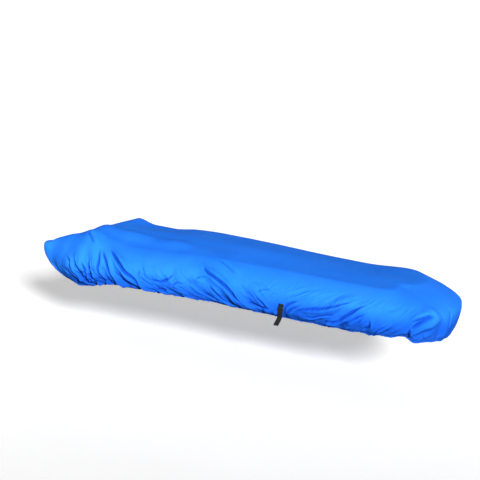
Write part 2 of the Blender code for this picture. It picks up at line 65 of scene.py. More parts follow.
# ---------------------------------------------------------------- light and floor
FLOOR_Z = -1.02
FLOOR_RADIUS = 17.0
FLOOR_CURVE = 4.0
FLOOR_SPOKES = 128
WALL_TOP = 2.0
FLOOR_GLOW = 0.45
KEY_TURN = 27.0  # degrees, like the view's turn and rise
KEY_RISE = 20.0
KEY_STRENGTH = 5.6
KEY_SOFTNESS = 8.0
FILL_TURN = 200.0
FILL_RISE = 10.0
FILL_STRENGTH = 1.3
FILL_SOFTNESS = 20.0
SKY_STRENGTH = 0.17

# ---------------------------------------------------------------- the cloth's sizes
HALF_BEAM = 0.825  # widest line, from the middle
SHOULDER_Y = 0.600  # where the flat top turns down
SHOULDER_Z = -0.038
WIDEST_Z = -0.263
HEM_Z = -0.388
HEM_TUCK = 0.080  # how far the hem lies inside the widest line
BOW_HEM_TUCK = 0.050
STERN_X = -1.720
STERN_Z = -0.186  # tips of the two back corners
STERN_SAG = 0.080  # the cloth between the tips lies this far in and down
STERN_Y = 0.560
STERN_HEM_X = -1.341
STERN_HEM_Z = -0.484
CONE = 0.480  # length of each tapering back corner
BOW_START_X = 1.244
BOW_LENGTH = 0.668
BOW_ROUND = 2.39  # superellipse power of the blunt bow in plan
BOW_SHOULDER = 0.337  # how far the shoulder lies inside the bow's widest line
NEAR_BOW_CUT = 0.160  # the same, more, at the near bow quarter
BOW_TOP_Z = -0.016
BOW_WIDEST_Z = -0.187
BOW_HEM_Z = -0.412
SPINE_START_X = -1.460
SPINE_END_X = 1.120
SHOULDER_SLANT = 0.45  # how directly the cloth falls away from the shoulder
BOW_SLANT = 0.75
TURN_UNDER = math.radians(58)  # how far the skirt curls in from the widest line

HEM_BEAD_R = 0.006
CASING = 0.020  # depth of the hem casing
FAR_STATIONS = 401
NEAR_STATIONS = 2 * FAR_STATIONS - 1
TOP_ROWS = 8
SHOULDER_ROWS = 36
SKIRT_ROWS = 30
BEAD_STEPS = 5
STITCH_INSET = 0.0045  # the patch's stitches: in from its edge, and from one to the next
STITCH_PITCH = 0.0034
THREAD_R = 0.0005
THREAD_SIDES = 8

# ---------------------------------------------------------------- short tables
Spine = namedtuple("Spine", "x z")
SPINE = (
    Spine(-1.75, -0.240),
    Spine(-1.46, -0.196),
    Spine(-1.40, -0.150),
    Spine(-1.27, -0.014),
    Spine(-1.00, -0.020),
    Spine(-0.70, -0.014),
    Spine(-0.30, -0.002),
    Spine(0.00, 0.002),
    Spine(0.20, 0.000),
    Spine(0.70, -0.010),
    Spine(1.10, -0.018),
    Spine(1.40, -0.036),
    Spine(1.70, -0.038),
)

# Height of each side's shoulder above its plain line, by the place along the side.
Sheer = namedtuple("Sheer", "x near far")
SHEER = (
    Sheer(-1.72, 0.002, -0.046),
    Sheer(-1.56, 0.016, -0.046),
    Sheer(-1.42, 0.038, -0.034),
    Sheer(-1.26, 0.040, 0.016),
    Sheer(-1.08, -0.016, -0.022),
    Sheer(-0.90, -0.042, -0.022),
    Sheer(-0.66, -0.036, 0.010),
    Sheer(-0.40, -0.018, 0.017),
    Sheer(0.10, 0.002, 0.010),
    Sheer(0.60, 0.000, -0.006),
    Sheer(1.00, 0.000, -0.010),
    Sheer(1.36, 0.000, 0.012),
    Sheer(1.70, 0.000, -0.004),
)

# Rise (plus) and drop (minus) of the hem on each side, by metres round the widest line.
HemWave = namedtuple("HemWave", "u near far")
HEM_WAVES = (
    HemWave(0.00, 0.000, 0.000),
    HemWave(0.90, -0.006, 0.004),
    HemWave(1.20, 0.004, -0.006),
    HemWave(1.60, -0.004, 0.006),
    HemWave(2.10, 0.004, -0.004),
    HemWave(2.70, -0.003, 0.005),
    HemWave(3.40, -0.006, -0.005),
    HemWave(3.84, 0.008, 0.008),
    HemWave(3.97, 0.040, 0.002),
    HemWave(4.10, -0.004, -0.010),
    HemWave(4.28, 0.004, 0.006),
    HemWave(4.50, 0.010, -0.004),
    HemWave(4.90, 0.000, 0.000),
)

# Soft tents and hollows of the top, each a line in plan with its reach to both sides.
TopForm = namedtuple("TopForm", "x0 y0 x1 y1 reach height")
TOP_FORMS = (
    TopForm(-1.24, -0.30, -0.98, -0.33, 0.22, 0.020),
    TopForm(-0.98, -0.33, -0.60, -0.36, 0.22, 0.026),
    TopForm(-0.60, -0.36, -0.10, -0.44, 0.20, 0.014),
    TopForm(-0.98, 0.30, -0.70, 0.42, 0.30, -0.010),
    TopForm(0.55, 0.00, 1.05, 0.10, 0.35, -0.008),
)

# A fold runs through three places on the cloth, given as metres round the widest line from the
# middle of the stern (u) and metres down from the shoulder (v). A fold is a ridge with a trough
# on its lower side; a minus height is a trough with a ridge there.
Fold = namedtuple("Fold", "u0 v0 u1 v1 u2 v2 width height")
NEAR_FOLDS = (
    Fold(0.92, 0.24, 1.03, 0.40, 1.02, 0.62, 0.050, 0.012),
    Fold(1.07, 0.24, 1.16, 0.42, 1.12, 0.66, 0.050, 0.014),
    Fold(1.22, 0.16, 1.30, 0.38, 1.24, 0.66, 0.055, 0.020),
    Fold(1.05, 0.00, 1.20, 0.12, 1.28, 0.22, 0.070, 0.008),
    Fold(1.30, 0.14, 1.42, 0.33, 1.38, 0.66, 0.055, 0.021),
    Fold(1.35, 0.10, 1.52, 0.27, 1.70, 0.58, 0.060, 0.028),
    Fold(1.66, 0.36, 1.84, 0.36, 2.02, 0.22, 0.055, -0.014),
    Fold(1.72, 0.40, 1.82, 0.50, 1.88, 0.62, 0.060, 0.012),
    Fold(1.94, 0.34, 2.02, 0.44, 2.06, 0.60, 0.055, 0.012),
    Fold(2.16, 0.12, 2.36, 0.26, 2.66, 0.50, 0.060, 0.026),
    Fold(2.24, 0.28, 2.36, 0.40, 2.48, 0.58, 0.055, 0.014),
    Fold(2.26, 0.00, 2.40, 0.10, 2.54, 0.20, 0.070, 0.006),
    Fold(2.62, 0.24, 2.74, 0.36, 2.86, 0.52, 0.055, 0.014),
    Fold(2.92, 0.48, 3.06, 0.34, 3.22, 0.26, 0.050, 0.014),
    Fold(2.98, 0.50, 3.24, 0.36, 3.56, 0.20, 0.055, 0.020),
    Fold(3.16, 0.54, 3.42, 0.40, 3.66, 0.20, 0.055, 0.018),
    Fold(3.40, 0.58, 3.54, 0.40, 3.68, 0.26, 0.055, 0.014),
    Fold(3.62, 0.58, 3.72, 0.45, 3.84, 0.37, 0.055, 0.012),
    Fold(3.88, 0.58, 4.04, 0.49, 4.32, 0.49, 0.070, 0.020),
    Fold(4.10, 0.52, 4.16, 0.67, 4.26, 0.84, 0.055, -0.016),
    Fold(4.36, 0.46, 4.42, 0.60, 4.48, 0.78, 0.055, 0.014),
)
FAR_FOLDS = (
    Fold(0.98, 0.22, 1.08, 0.42, 1.05, 0.66, 0.055, 0.013),
    Fold(1.20, 0.14, 1.30, 0.36, 1.26, 0.66, 0.060, 0.016),
    Fold(1.32, 0.12, 1.50, 0.30, 1.62, 0.62, 0.060, 0.019),
    Fold(1.80, 0.34, 1.90, 0.46, 1.94, 0.64, 0.060, 0.013),
    Fold(2.04, 0.20, 2.26, 0.34, 2.46, 0.58, 0.060, 0.017),
    Fold(2.60, 0.44, 2.78, 0.34, 2.98, 0.28, 0.060, -0.012),
    Fold(2.92, 0.56, 3.14, 0.38, 3.44, 0.22, 0.055, 0.015),
    Fold(3.30, 0.58, 3.48, 0.40, 3.66, 0.24, 0.055, 0.014),
    Fold(3.74, 0.58, 3.86, 0.42, 4.02, 0.30, 0.060, 0.014),
    Fold(4.12, 0.32, 4.20, 0.48, 4.30, 0.66, 0.060, 0.015),
    Fold(4.46, 0.32, 4.50, 0.48, 4.56, 0.66, 0.055, 0.012),
)

# Soft waves that the elastic draws up in the skirt: repeat, height and where each starts.
Gather = namedtuple("Gather", "repeat height shift")
GATHERS = (
    Gather(0.230, 0.0060, 0.4),
    Gather(0.167, 0.0045, 1.9),
    Gather(0.410, 0.0050, 3.1),
)
GATHER_RISE = 0.20  # how far above the hem the waves begin
HEM_HELD = 0.35  # what the elastic leaves of every fold at the hem itself
HEM_HOLD = 0.07  # how far up it holds them


def smooth(x):
    """0 to 1 with level ends."""
    x = np.clip(x, 0.0, 1.0)
    return x * x * (3.0 - 2.0 * x)


def even_curve(knots, values, at):
    """Shape-keeping cubic through values at rising knots: it never overshoots a row."""
    values = values.reshape(len(knots), -1)
    step = np.diff(knots)[:, None]
    rise = np.diff(values, axis=0) / step
    slope = np.zeros_like(values)
    before, after = rise[:-1], rise[1:]
    keep = before * after > 0
    weight_a = 2 * step[1:] + step[:-1]
    weight_b = step[1:] + 2 * step[:-1]
    safe_a = np.where(keep, before, 1.0)
    safe_b = np.where(keep, after, 1.0)
    mean = (weight_a + weight_b) / (weight_a / safe_a + weight_b / safe_b)
    slope[1:-1] = np.where(keep, mean, 0.0)
    slope[0] = rise[0]
    slope[-1] = rise[-1]
    i = np.clip(np.searchsorted(knots, at, side="right") - 1, 0, len(knots) - 2)
    t = ((at - knots[i]) / step[i, 0])[:, None]
    run = step[i]
    return (
        (1 + 2 * t) * (1 - t) ** 2 * values[i]
        + t * (1 - t) ** 2 * run * slope[i]
        + t * t * (3 - 2 * t) * values[i + 1]
        + t * t * (t - 1) * run * slope[i + 1]
    )


# ---------------------------------------------------------------- the cloth's sections
def stern_sections():
    """Back edge, corner and cone: shoulder, widest and hem point of each, middle outwards."""
    x, y, z = STERN_X, STERN_Y, STERN_Z
    hem_x, hem_z = STERN_HEM_X, STERN_HEM_Z
    top_z = z + 0.008
    return [
        [
            (x + 0.050 + STERN_SAG, 0.0, top_z - STERN_SAG),
            (x + STERN_SAG, 0.0, z - STERN_SAG),
            (hem_x, 0.0, hem_z),
        ],
        [
            (x + 0.050 + STERN_SAG * 0.7, 0.28, top_z - STERN_SAG * 0.7),
            (x + STERN_SAG * 0.7, 0.28, z - STERN_SAG * 0.7 - 0.010),
            (hem_x, 0.32, hem_z),
        ],
        [(x + 0.056, y - 0.03, top_z), (x + 0.004, y - 0.03, z - 0.022), (hem_x, 0.59, hem_z)],
        [(x + 0.066, y + 0.01, top_z), (x + 0.022, y + 0.038, z - 0.030), (hem_x + 0.006, 0.635, hem_z)],
        [
            (x + 0.14, y, top_z + 0.037),
            (x + 0.125, y + 0.088, z - 0.095),
            (hem_x + 0.05, 0.655, hem_z + 0.005),
        ],
        [(x + 0.32, 0.58, -0.094), (x + 0.26, 0.745, WIDEST_Z - 0.060), (hem_x + 0.14, 0.68, hem_z + 0.022)],
        [
            (x + CONE, SHOULDER_Y, SHOULDER_Z),
            (x + CONE, HALF_BEAM, WIDEST_Z),
            (hem_x + 0.30, HALF_BEAM - 0.100, HEM_Z - 0.030),
        ],
    ]


def side_sections():
    """The long straight side."""
    start, hem_start = STERN_X + CONE, STERN_HEM_X + 0.30
    rows = []
    for part in (0.20, 0.45, 0.70, 1.00):
        x = start + (BOW_START_X - start) * part
        hem_x = hem_start + (BOW_START_X - hem_start) * part
        rows.append([
            (x, SHOULDER_Y, SHOULDER_Z),
            (x, HALF_BEAM, WIDEST_Z),
            (hem_x, HALF_BEAM - HEM_TUCK, HEM_Z),
        ])
    return rows


def bow_sections(side):
    """The blunt bow, a superellipse in plan."""
    rows = []
    for turn in (15, 30, 45, 60, 75, 90):
        angle = math.radians(turn)
        part = math.sin(angle)
        ahead = part ** (2 / BOW_ROUND)
        aside = max(math.cos(angle), 0.0) ** (2 / BOW_ROUND) if turn < 90 else 0.0
        out = Vector((BOW_LENGTH * ahead, HALF_BEAM * aside))
        away = Vector((ahead ** (BOW_ROUND - 1) / BOW_LENGTH, aside ** (BOW_ROUND - 1) / HALF_BEAM))
        away.normalize()
        inset = (HALF_BEAM - SHOULDER_Y) * (1 - part) + BOW_SHOULDER * part
        inset += NEAR_BOW_CUT * math.sin(2 * angle) ** 2 if side < 0 else 0.0
        levels = [a * (1 - part) + b * part for a, b in (
            (SHOULDER_Z, BOW_TOP_Z), (WIDEST_Z, BOW_WIDEST_Z), (HEM_Z, BOW_HEM_Z))]
        tuck = HEM_TUCK * (1 - part) + BOW_HEM_TUCK * part
        places = [out - away * inset, out, out - away * tuck]
        rows.append([(BOW_START_X + p.x, max(p.y, 0.0), z) for p, z in zip(places, levels)])
    return rows


def rails(count, side):
    """Shoulder, widest and hem rail of one side, and metres round the widest line."""
    rows = np.array(stern_sections() + side_sections() + bow_sections(side))
    flip = np.array((1.0, -1.0, 1.0))
    rows = np.concatenate([rows[1:2] * flip, rows, rows[-2:-1] * flip])
    around = np.linalg.norm(np.diff(rows[:, 1], axis=0), axis=1)
    under = np.linalg.norm(np.diff(rows[:, 2], axis=0), axis=1)
    knots = np.concatenate([[0.0], np.cumsum(around + 0.35 * under)])
    at = np.linspace(knots[1], knots[-2], count)
    made = even_curve(knots, rows, at).reshape(count, 3, 3)
    steps = np.linalg.norm(np.diff(made[:, 1], axis=0), axis=1)
    return made, np.concatenate([[0.0], np.cumsum(steps)])


def curve_of(table, column, at):
    """A table column as a smooth curve over the table's first column."""
    knots = np.array([row[0] for row in table])
    values = np.array([getattr(row, column) for row in table])
    return even_curve(knots, values, np.clip(at, knots[0], knots[-1]))[:, 0]


def plain_side(side, count, top_rows, shoulder_rows, skirt_rows):
    """Unfolded cloth of one side as a grid: sections by rows, middle of the top to the hem."""
    made, around = rails(count, side)
    shoulder, widest, hem = made[:, 0], made[:, 1], made[:, 2]
    which = "near" if side < 0 else "far"
    lift = curve_of(SHEER, which, shoulder[:, 0]) * smooth((shoulder[:, 1] - 0.35) / 0.2)
    at_stern = smooth((-1.40 - widest[:, 0]) / 0.2)
    shoulder[:, 2] += lift
    widest[:, 2] += lift * at_stern
    hem[:, 2] += curve_of(HEM_WAVES, which, around)
    to_bow = smooth((widest[:, 0] - BOW_START_X) / (0.6 * BOW_LENGTH))
    slant = SHOULDER_SLANT + (BOW_SLANT - SHOULDER_SLANT) * to_bow
    spine = rails(count, 1)[0][:, 0]
    spine[:, 1] = 0.0
    spine[:, 0] = np.clip(spine[:, 0], SPINE_START_X, SPINE_END_X)
    spine[:, 2] = curve_of(SPINE, "z", spine[:, 0])
    grid = []
    for part in np.linspace(0, 1, top_rows + 1)[:-1]:
        ease = 0.7 * (0.5 - 0.5 * math.cos(math.pi * part)) + 0.3 * part
        row = spine * (1 - part) + shoulder * part
        row[:, 2] = spine[:, 2] * (1 - ease) + shoulder[:, 2] * ease
        row[:, 2] += top_height(row, side)
        grid.append(row)
    shoulder[:, 2] += top_height(shoulder, side)
    for turn in np.linspace(0, math.pi / 2, shoulder_rows + 1)[:-1]:
        part = turn / (math.pi / 2)
        fall = (1 - slant) * (1 - math.cos(turn)) + slant * part
        row = shoulder + (widest - shoulder) * math.sin(turn)
        row[:, 2] = shoulder[:, 2] + (widest - shoulder)[:, 2] * fall
        grid.append(row)
    for turn in np.linspace(0, TURN_UNDER, skirt_rows + 1):
        inward = (1 - math.cos(turn)) / (1 - math.cos(TURN_UNDER))
        down = math.sin(turn) / math.sin(TURN_UNDER)
        row = widest + (hem - widest) * inward
        row[:, 2] = widest[:, 2] + (hem - widest)[:, 2] * down
        grid.append(row)
    grid = np.array(grid).transpose(1, 0, 2)
    grid[..., 1] *= side
    return grid, around


def near_line(plan, form):
    """How far along a form's line each place of the plan lies, 0 to 1, and how far from it."""
    start = np.array((form.x0, form.y0))
    way = np.array((form.x1, form.y1)) - start
    offset = plan - start
    part = np.clip(offset @ way / (way @ way), 0.0, 1.0)
    return part, np.linalg.norm(offset - part[..., None] * way, axis=-1)


def top_height(row, side):
    """Height that the tents and hollows add to one row of the top."""
    height = np.zeros(len(row))
    for form in TOP_FORMS:
        miss = near_line(row[:, :2] * (1, side), form)[1]
        height += form.height * (1.0 - smooth(miss / form.reach))
    return height


def follow_line(line, here):
    """How far each place is from a line of places, the same with a minus on the line's right hand,
    and how far along the line it lies, 0 to 1.
    """
    runs = np.linalg.norm(np.diff(line, axis=0), axis=1)
    starts = np.concatenate([[0.0], np.cumsum(runs)])
    best = np.full(here.shape[:-1], np.inf)
    across = np.zeros(here.shape[:-1])
    along = np.zeros(here.shape[:-1])
    for i, run in enumerate(runs):
        way = (line[i + 1] - line[i]) / run
        offset = here - line[i]
        reach = np.clip(offset @ way, 0.0, run)
        miss = offset - reach[..., None] * way
        far = np.linalg.norm(miss, axis=-1)
        left = way[1] * offset[..., 0] - way[0] * offset[..., 1]
        nearer = far < best
        best = np.where(nearer, far, best)
        across = np.where(nearer, np.copysign(far, left), across)
        along = np.where(nearer, reach + starts[i], along)
    return best, across, along / starts[-1]


def fold_height(fold, u, v):
    """Height of one fold over the cloth."""
    places = np.array([(fold.u0, fold.v0), (fold.u1, fold.v1), (fold.u2, fold.v2)])
    _, across, part = follow_line(places, np.stack([u, v], axis=-1))
    lower_hand = 1.0 if fold.u2 < fold.u0 else -1.0
    t = lower_hand * across / fold.width
    shape = np.exp(-t * t) - 0.65 * np.exp(-((t - 1.35) ** 2) * 1.3)
    return fold.height * shape * smooth(part / 0.4 + 0.15) * smooth((1 - part) / 0.3 + 0.15)


def gather_height(side, u, v, hem_v):
    """Waves that grow towards the hem."""
    rise = smooth((v - hem_v + GATHER_RISE) / GATHER_RISE)
    wave = np.zeros(u.shape)
    for g in GATHERS:
        wave += g.height * np.sin(2 * math.pi * u / g.repeat + g.shift + 1.3 * side + 2.0 * v)
    swell = 0.7 + 0.3 * np.sin(1.7 * u + side)
    return wave * rise * swell


def hem_hold(v, hem_v):
    """Share of every fold that the taut hem leaves."""
    return HEM_HELD + (1.0 - HEM_HELD) * smooth((hem_v - v) / HEM_HOLD)


def outward(grid, side):
    """Unit normals of a grid, pointing out of the cover."""
    round_way = np.gradient(grid, axis=0)
    down_way = np.gradient(grid, axis=1)
    normal = np.cross(round_way, down_way) * side
    size = np.linalg.norm(normal, axis=-1, keepdims=True)
    normal = normal / np.maximum(size, 1e-9)
    normal[:, 0] = (0.0, 0.0, 1.0)
    return normal


# ---------------------------------------------------------------- sharp creases
# A crease is a narrow trough with a lip on its left hand, as it runs through its places (u, v).
# A minus depth puts the lip on its right hand.
Crease = namedtuple("Crease", "places width depth")
NEAR_CREASES = (
    Crease(((0.96, 0.27), (1.03, 0.35), (1.03, 0.47), (0.97, 0.57)), 0.010, 0.0070),
    Crease(((1.06, 0.28), (1.09, 0.36), (1.12, 0.45), (1.04, 0.56)), 0.009, 0.0060),
    Crease(((1.15, 0.34), (1.18, 0.41), (1.13, 0.5), (1.04, 0.6)), 0.011, 0.0080),
    Crease(((1.22, 0.29), (1.22, 0.41), (1.17, 0.5), (1.09, 0.59)), 0.011, 0.0080),
    Crease(((1.08, 0.03), (1.16, 0.09), (1.23, 0.18)), 0.022, 0.0040),
    Crease(((1.28, 0.16), (1.31, 0.3), (1.31, 0.43), (1.19, 0.61)), 0.010, 0.0090),
    Crease(((1.29, 0.16), (1.38, 0.28), (1.42, 0.39), (1.29, 0.6)), 0.012, 0.0090),
    Crease(((1.36, 0.13), (1.44, 0.21), (1.54, 0.29), (1.64, 0.37), (1.62, 0.52)), 0.013, 0.0130),
    Crease(((1.49, 0.38), (1.54, 0.46), (1.52, 0.58)), 0.010, 0.0070),
    Crease(((1.69, 0.25), (1.72, 0.27), (1.76, 0.265)), 0.007, 0.0040),
    Crease(((1.69, 0.27), (1.67, 0.31), (1.68, 0.35)), 0.008, 0.0040),
    Crease(((1.74, 0.34), (1.84, 0.355), (1.92, 0.32), (1.98, 0.25)), 0.012, -0.0070),
    Crease(((1.76, 0.44), (1.82, 0.45), (1.88, 0.41)), 0.018, -0.0080),
    Crease(((1.96, 0.37), (2.03, 0.33), (2.10, 0.34)), 0.010, -0.0050),
    Crease(((2.16, 0.28), (2.20, 0.25), (2.25, 0.25)), 0.008, -0.0040),
    Crease(((2.19, 0.14), (2.26, 0.21), (2.38, 0.265), (2.50, 0.335), (2.60, 0.42)), 0.012, 0.0120),
    Crease(((2.28, 0.31), (2.37, 0.38), (2.41, 0.46)), 0.010, 0.0070),
    Crease(((2.28, 0.01), (2.40, 0.1), (2.51, 0.19)), 0.022, 0.0030),
    Crease(((2.23, 0.41), (2.30, 0.435), (2.37, 0.43)), 0.018, -0.0080),
    Crease(((2.62, 0.4), (2.71, 0.42), (2.82, 0.4)), 0.016, -0.0080),
    Crease(((2.69, 0.32), (2.75, 0.36), (2.82, 0.42)), 0.010, 0.0060),
    Crease(((2.71, 0.29), (2.75, 0.26), (2.80, 0.25)), 0.008, -0.0040),
    Crease(((2.80, 0.285), (2.88, 0.27), (2.96, 0.27)), 0.008, -0.0040),
    Crease(((2.92, 0.45), (2.96, 0.36), (3.06, 0.29)), 0.009, -0.0070),
    Crease(((2.93, 0.45), (3.03, 0.36), (3.12, 0.32)), 0.008, -0.0060),
    Crease(((3.06, 0.39), (3.15, 0.35), (3.27, 0.32), (3.40, 0.27), (3.52, 0.21)), 0.010, -0.0085),
    Crease(((3.10, 0.42), (3.18, 0.41), (3.27, 0.38), (3.37, 0.36)), 0.009, -0.0060),
    Crease(((3.24, 0.46), (3.39, 0.41), (3.47, 0.34), (3.55, 0.27), (3.63, 0.21)), 0.011, -0.0090),
    Crease(((3.40, 0.47), (3.50, 0.38), (3.57, 0.33), (3.64, 0.29)), 0.010, -0.0070),
    Crease(((3.49, 0.47), (3.56, 0.39), (3.61, 0.31)), 0.009, -0.0070),
    Crease(((3.61, 0.47), (3.66, 0.401), (3.66, 0.331)), 0.009, -0.0060),
    Crease(((3.69, 0.494), (3.74, 0.424), (3.81, 0.396)), 0.009, -0.0060),
    Crease(((3.97, 0.48), (4.00, 0.44), (4.09, 0.455), (4.21, 0.485)), 0.012, 0.0060),
    Crease(((3.99, 0.49), (4.00, 0.56), (4.02, 0.61)), 0.011, 0.0080),
    Crease(((4.14, 0.62), (4.16, 0.67), (4.20, 0.70)), 0.010, 0.0040),
    Crease(((4.48, 0.40), (4.45, 0.48), (4.47, 0.58)), 0.010, 0.0065),
)
FAR_CREASES = (
    Crease(((0.94, 0.28), (1.01, 0.38), (1.02, 0.48), (0.97, 0.58)), 0.010, 0.0070),
    Crease(((1.08, 0.26), (1.12, 0.38), (1.10, 0.50), (1.03, 0.60)), 0.010, 0.0075),
    Crease(((1.21, 0.16), (1.26, 0.30), (1.26, 0.44), (1.17, 0.60)), 0.011, 0.0090),
    Crease(((1.33, 0.12), (1.42, 0.22), (1.53, 0.32), (1.58, 0.50)), 0.013, 0.0120),
    Crease(((1.70, 0.36), (1.80, 0.38), (1.90, 0.33)), 0.011, -0.0060),
    Crease(((1.84, 0.44), (1.90, 0.50), (1.92, 0.58)), 0.010, 0.0060),
    Crease(((2.06, 0.18), (2.18, 0.27), (2.32, 0.36), (2.42, 0.48)), 0.012, 0.0110),
    Crease(((2.26, 0.24), (2.34, 0.32), (2.38, 0.42)), 0.009, 0.0050),
    Crease(((2.60, 0.42), (2.74, 0.35), (2.92, 0.30)), 0.011, -0.0070),
    Crease(((2.92, 0.50), (3.02, 0.41), (3.20, 0.33), (3.42, 0.24)), 0.011, -0.0090),
    Crease(((3.10, 0.50), (3.24, 0.42), (3.40, 0.35)), 0.009, -0.0060),
    Crease(((3.34, 0.52), (3.46, 0.42), (3.60, 0.31), (3.68, 0.24)), 0.011, -0.0080),
    Crease(((3.74, 0.52), (3.82, 0.43), (3.98, 0.34)), 0.010, -0.0070),
    Crease(((4.12, 0.34), (4.16, 0.44), (4.24, 0.58)), 0.012, 0.0090),
    Crease(((4.44, 0.34), (4.47, 0.44), (4.50, 0.54)), 0.010, 0.0060),
)
CREASE_STEPS = 6  # straight steps between two places of a crease
CREASE_MARGIN = 6  # widths out to which a crease is felt
CREASE_TIP = 0.55  # share of its width at its ends
CREASE_FADE = 0.25  # share of its length over which it fades out at each end
LIP_HEIGHT = 0.75  # the lip's height over the trough's depth, its place in widths and its spread
LIP_PLACE = 1.7
LIP_SPREAD = 2.6

# Broad facets of the slack cloth under the near bow quarter, as folds.
NEAR_FACETS = (
    Fold(3.92, 0.44, 4.06, 0.42, 4.28, 0.44, 0.055, 0.008),
    Fold(3.98, 0.51, 4.09, 0.495, 4.24, 0.485, 0.042, -0.028),
    Fold(4.25, 0.44, 4.19, 0.58, 4.17, 0.72, 0.110, 0.015),
)

# Bunches of small gathers at the hem: where each bunch lies, how many, how high they reach and
# how far they lean along the hem as they rise.
Bunch = namedtuple("Bunch", "start end count reach lean height")
NEAR_BUNCHES = (
    Bunch(0.00, 0.70, 16, 0.10, 0.10, 0.0035),
    Bunch(0.70, 1.00, 16, 0.20, 0.20, 0.0070),
    Bunch(1.00, 1.45, 28, 0.25, 0.30, 0.0080),
    Bunch(1.45, 1.95, 18, 0.13, -0.45, 0.0045),
    Bunch(1.95, 2.75, 30, 0.13, -0.70, 0.0045),
    Bunch(2.75, 3.15, 14, 0.12, 0.30, 0.0045),
    Bunch(3.15, 3.85, 30, 0.16, 0.80, 0.0050),
    Bunch(3.85, 4.35, 10, 0.07, 0.20, 0.0035),
    Bunch(4.35, 4.80, 10, 0.08, -0.20, 0.0030),
)
FAR_BUNCHES = (
    Bunch(0.05, 0.75, 15, 0.11, 0.10, 0.0035),
    Bunch(0.75, 1.40, 30, 0.18, 0.25, 0.0055),
    Bunch(1.40, 2.20, 28, 0.13, -0.55, 0.0045),
    Bunch(2.20, 3.00, 28, 0.12, -0.40, 0.0045),
    Bunch(3.00, 3.90, 34, 0.15, 0.70, 0.0050),
    Bunch(3.90, 4.75, 26, 0.11, 0.10, 0.0045),
)
GATHER_SEED = 41
CREASE_DEPTH = 2.2  # how much deeper the creases are than their rows say
GATHER_DEPTH = 1.9
FOLD_DEPTH = 1.3
GRAIN_DEPTH = 1.5
GATHER_AT_EDGE = 0.25  # what is left of the gathers at the taut hem itself
EDGE_TAUT = 0.035  # how far above the hem they are whole again
GATHER_WIDTH = (0.008, 0.017)  # narrowest and widest gather
REACH_SHARE = (0.35, 1.3)  # least and most of the bunch's own reach and height
SIZE_SHARE = (0.5, 1.4)
LEAN_SPREAD = 0.25  # how far a gather's lean may differ from its bunch's, either way
BEND_SPREAD = 1.5  # and how much it may bend

# Creasing of the slack lower half: which way it runs from each place along the edge on, in
# degrees down from the way round to the bow, and how deep it is there.
Grain = namedtuple("Grain", "u angle depth")
NEAR_GRAIN = (
    Grain(0.0, 80, 0.0015),
    Grain(0.8, 100, 0.0035),
    Grain(1.2, 78, 0.0060),
    Grain(1.6, 48, 0.0055),
    Grain(2.1, 38, 0.0050),
    Grain(2.6, 42, 0.0045),
    Grain(3.0, -30, 0.0045),
    Grain(3.5, -44, 0.0050),
    Grain(3.9, -20, 0.0022),
    Grain(4.3, 60, 0.0008),
    Grain(4.9, 85, 0.0008),
)
FAR_GRAIN = (
    Grain(0.0, 85, 0.0015),
    Grain(0.9, 95, 0.0045),
    Grain(1.4, 62, 0.0055),
    Grain(2.0, 40, 0.0050),
    Grain(2.7, 30, 0.0045),
    Grain(3.1, -36, 0.0048),
    Grain(3.7, -40, 0.0048),
    Grain(4.2, 50, 0.0042),
    Grain(4.9, 85, 0.0020),
)
GRAIN_LONG = 0.26  # how long and how far apart the creases are
GRAIN_WIDE = 0.060
SLACK_TOP = 0.40  # the cloth is slack up to here above the hem
SLACK_FADE = 0.16
EVEN_SAG = 0.0022  # soft unevenness all over
TROUGH_DEEP = 0.009  # a crease this deep gets the full painted shade in the cloth's colour
GRAIN_TONE = 0.5  # how much the grain's and the broad facets' depths count towards it
FACET_TONE = 0.28
STERN_LOW = 0.25  # painted shade: the drawn-in cloth low at the back corners is made darker up to this height above the hem
STERN_LOW_FADE = 0.14
STERN_LOW_FROM = 0.55  # where that painted shade begins and ends, in metres round
STERN_LOW_TO = 1.75
# how dark that painted shade gets at most
STERN_SHADE = 0.75
STERN_PLAIN = 0.35  # the folds fade out this near to the middle of the stern and of the bow
BOW_PLAIN = 0.25
FOLD_START = 0.16  # and this far above the shoulder
STRAP_U = 2.903  # the strap is sewn over plain cloth here
STRAP_HALF = 0.030
STRAP_FADE = 0.035

# Faint creases of the top, as narrow forms.
TOP_CREASES = (
    TopForm(1.46, -0.42, 1.58, 0.16, 0.030, -0.0035),
    TopForm(-1.25, -0.46, -1.10, -0.60, 0.035, -0.0060),
    TopForm(-0.88, -0.50, -0.52, -0.57, 0.040, -0.0030),
    TopForm(-1.22, 0.10, -0.95, 0.30, 0.050, -0.0030),
    TopForm(-0.30, 0.42, 0.10, 0.52, 0.050, -0.0030),
)

# The tables of each side: folds, facets, creases, bunches and grain.
SIDES = {
    -1: (NEAR_FOLDS, NEAR_FACETS, NEAR_CREASES, NEAR_BUNCHES, NEAR_GRAIN),
    1: (FAR_FOLDS, (), FAR_CREASES, FAR_BUNCHES, FAR_GRAIN),
}


def crease_line(places):
    """A crease's places joined by an even curve."""
    knots = np.arange(len(places), dtype=float)
    at = np.linspace(0, len(places) - 1, (len(places) - 1) * CREASE_STEPS + 1)
    return even_curve(knots, np.array(places, dtype=float), at)


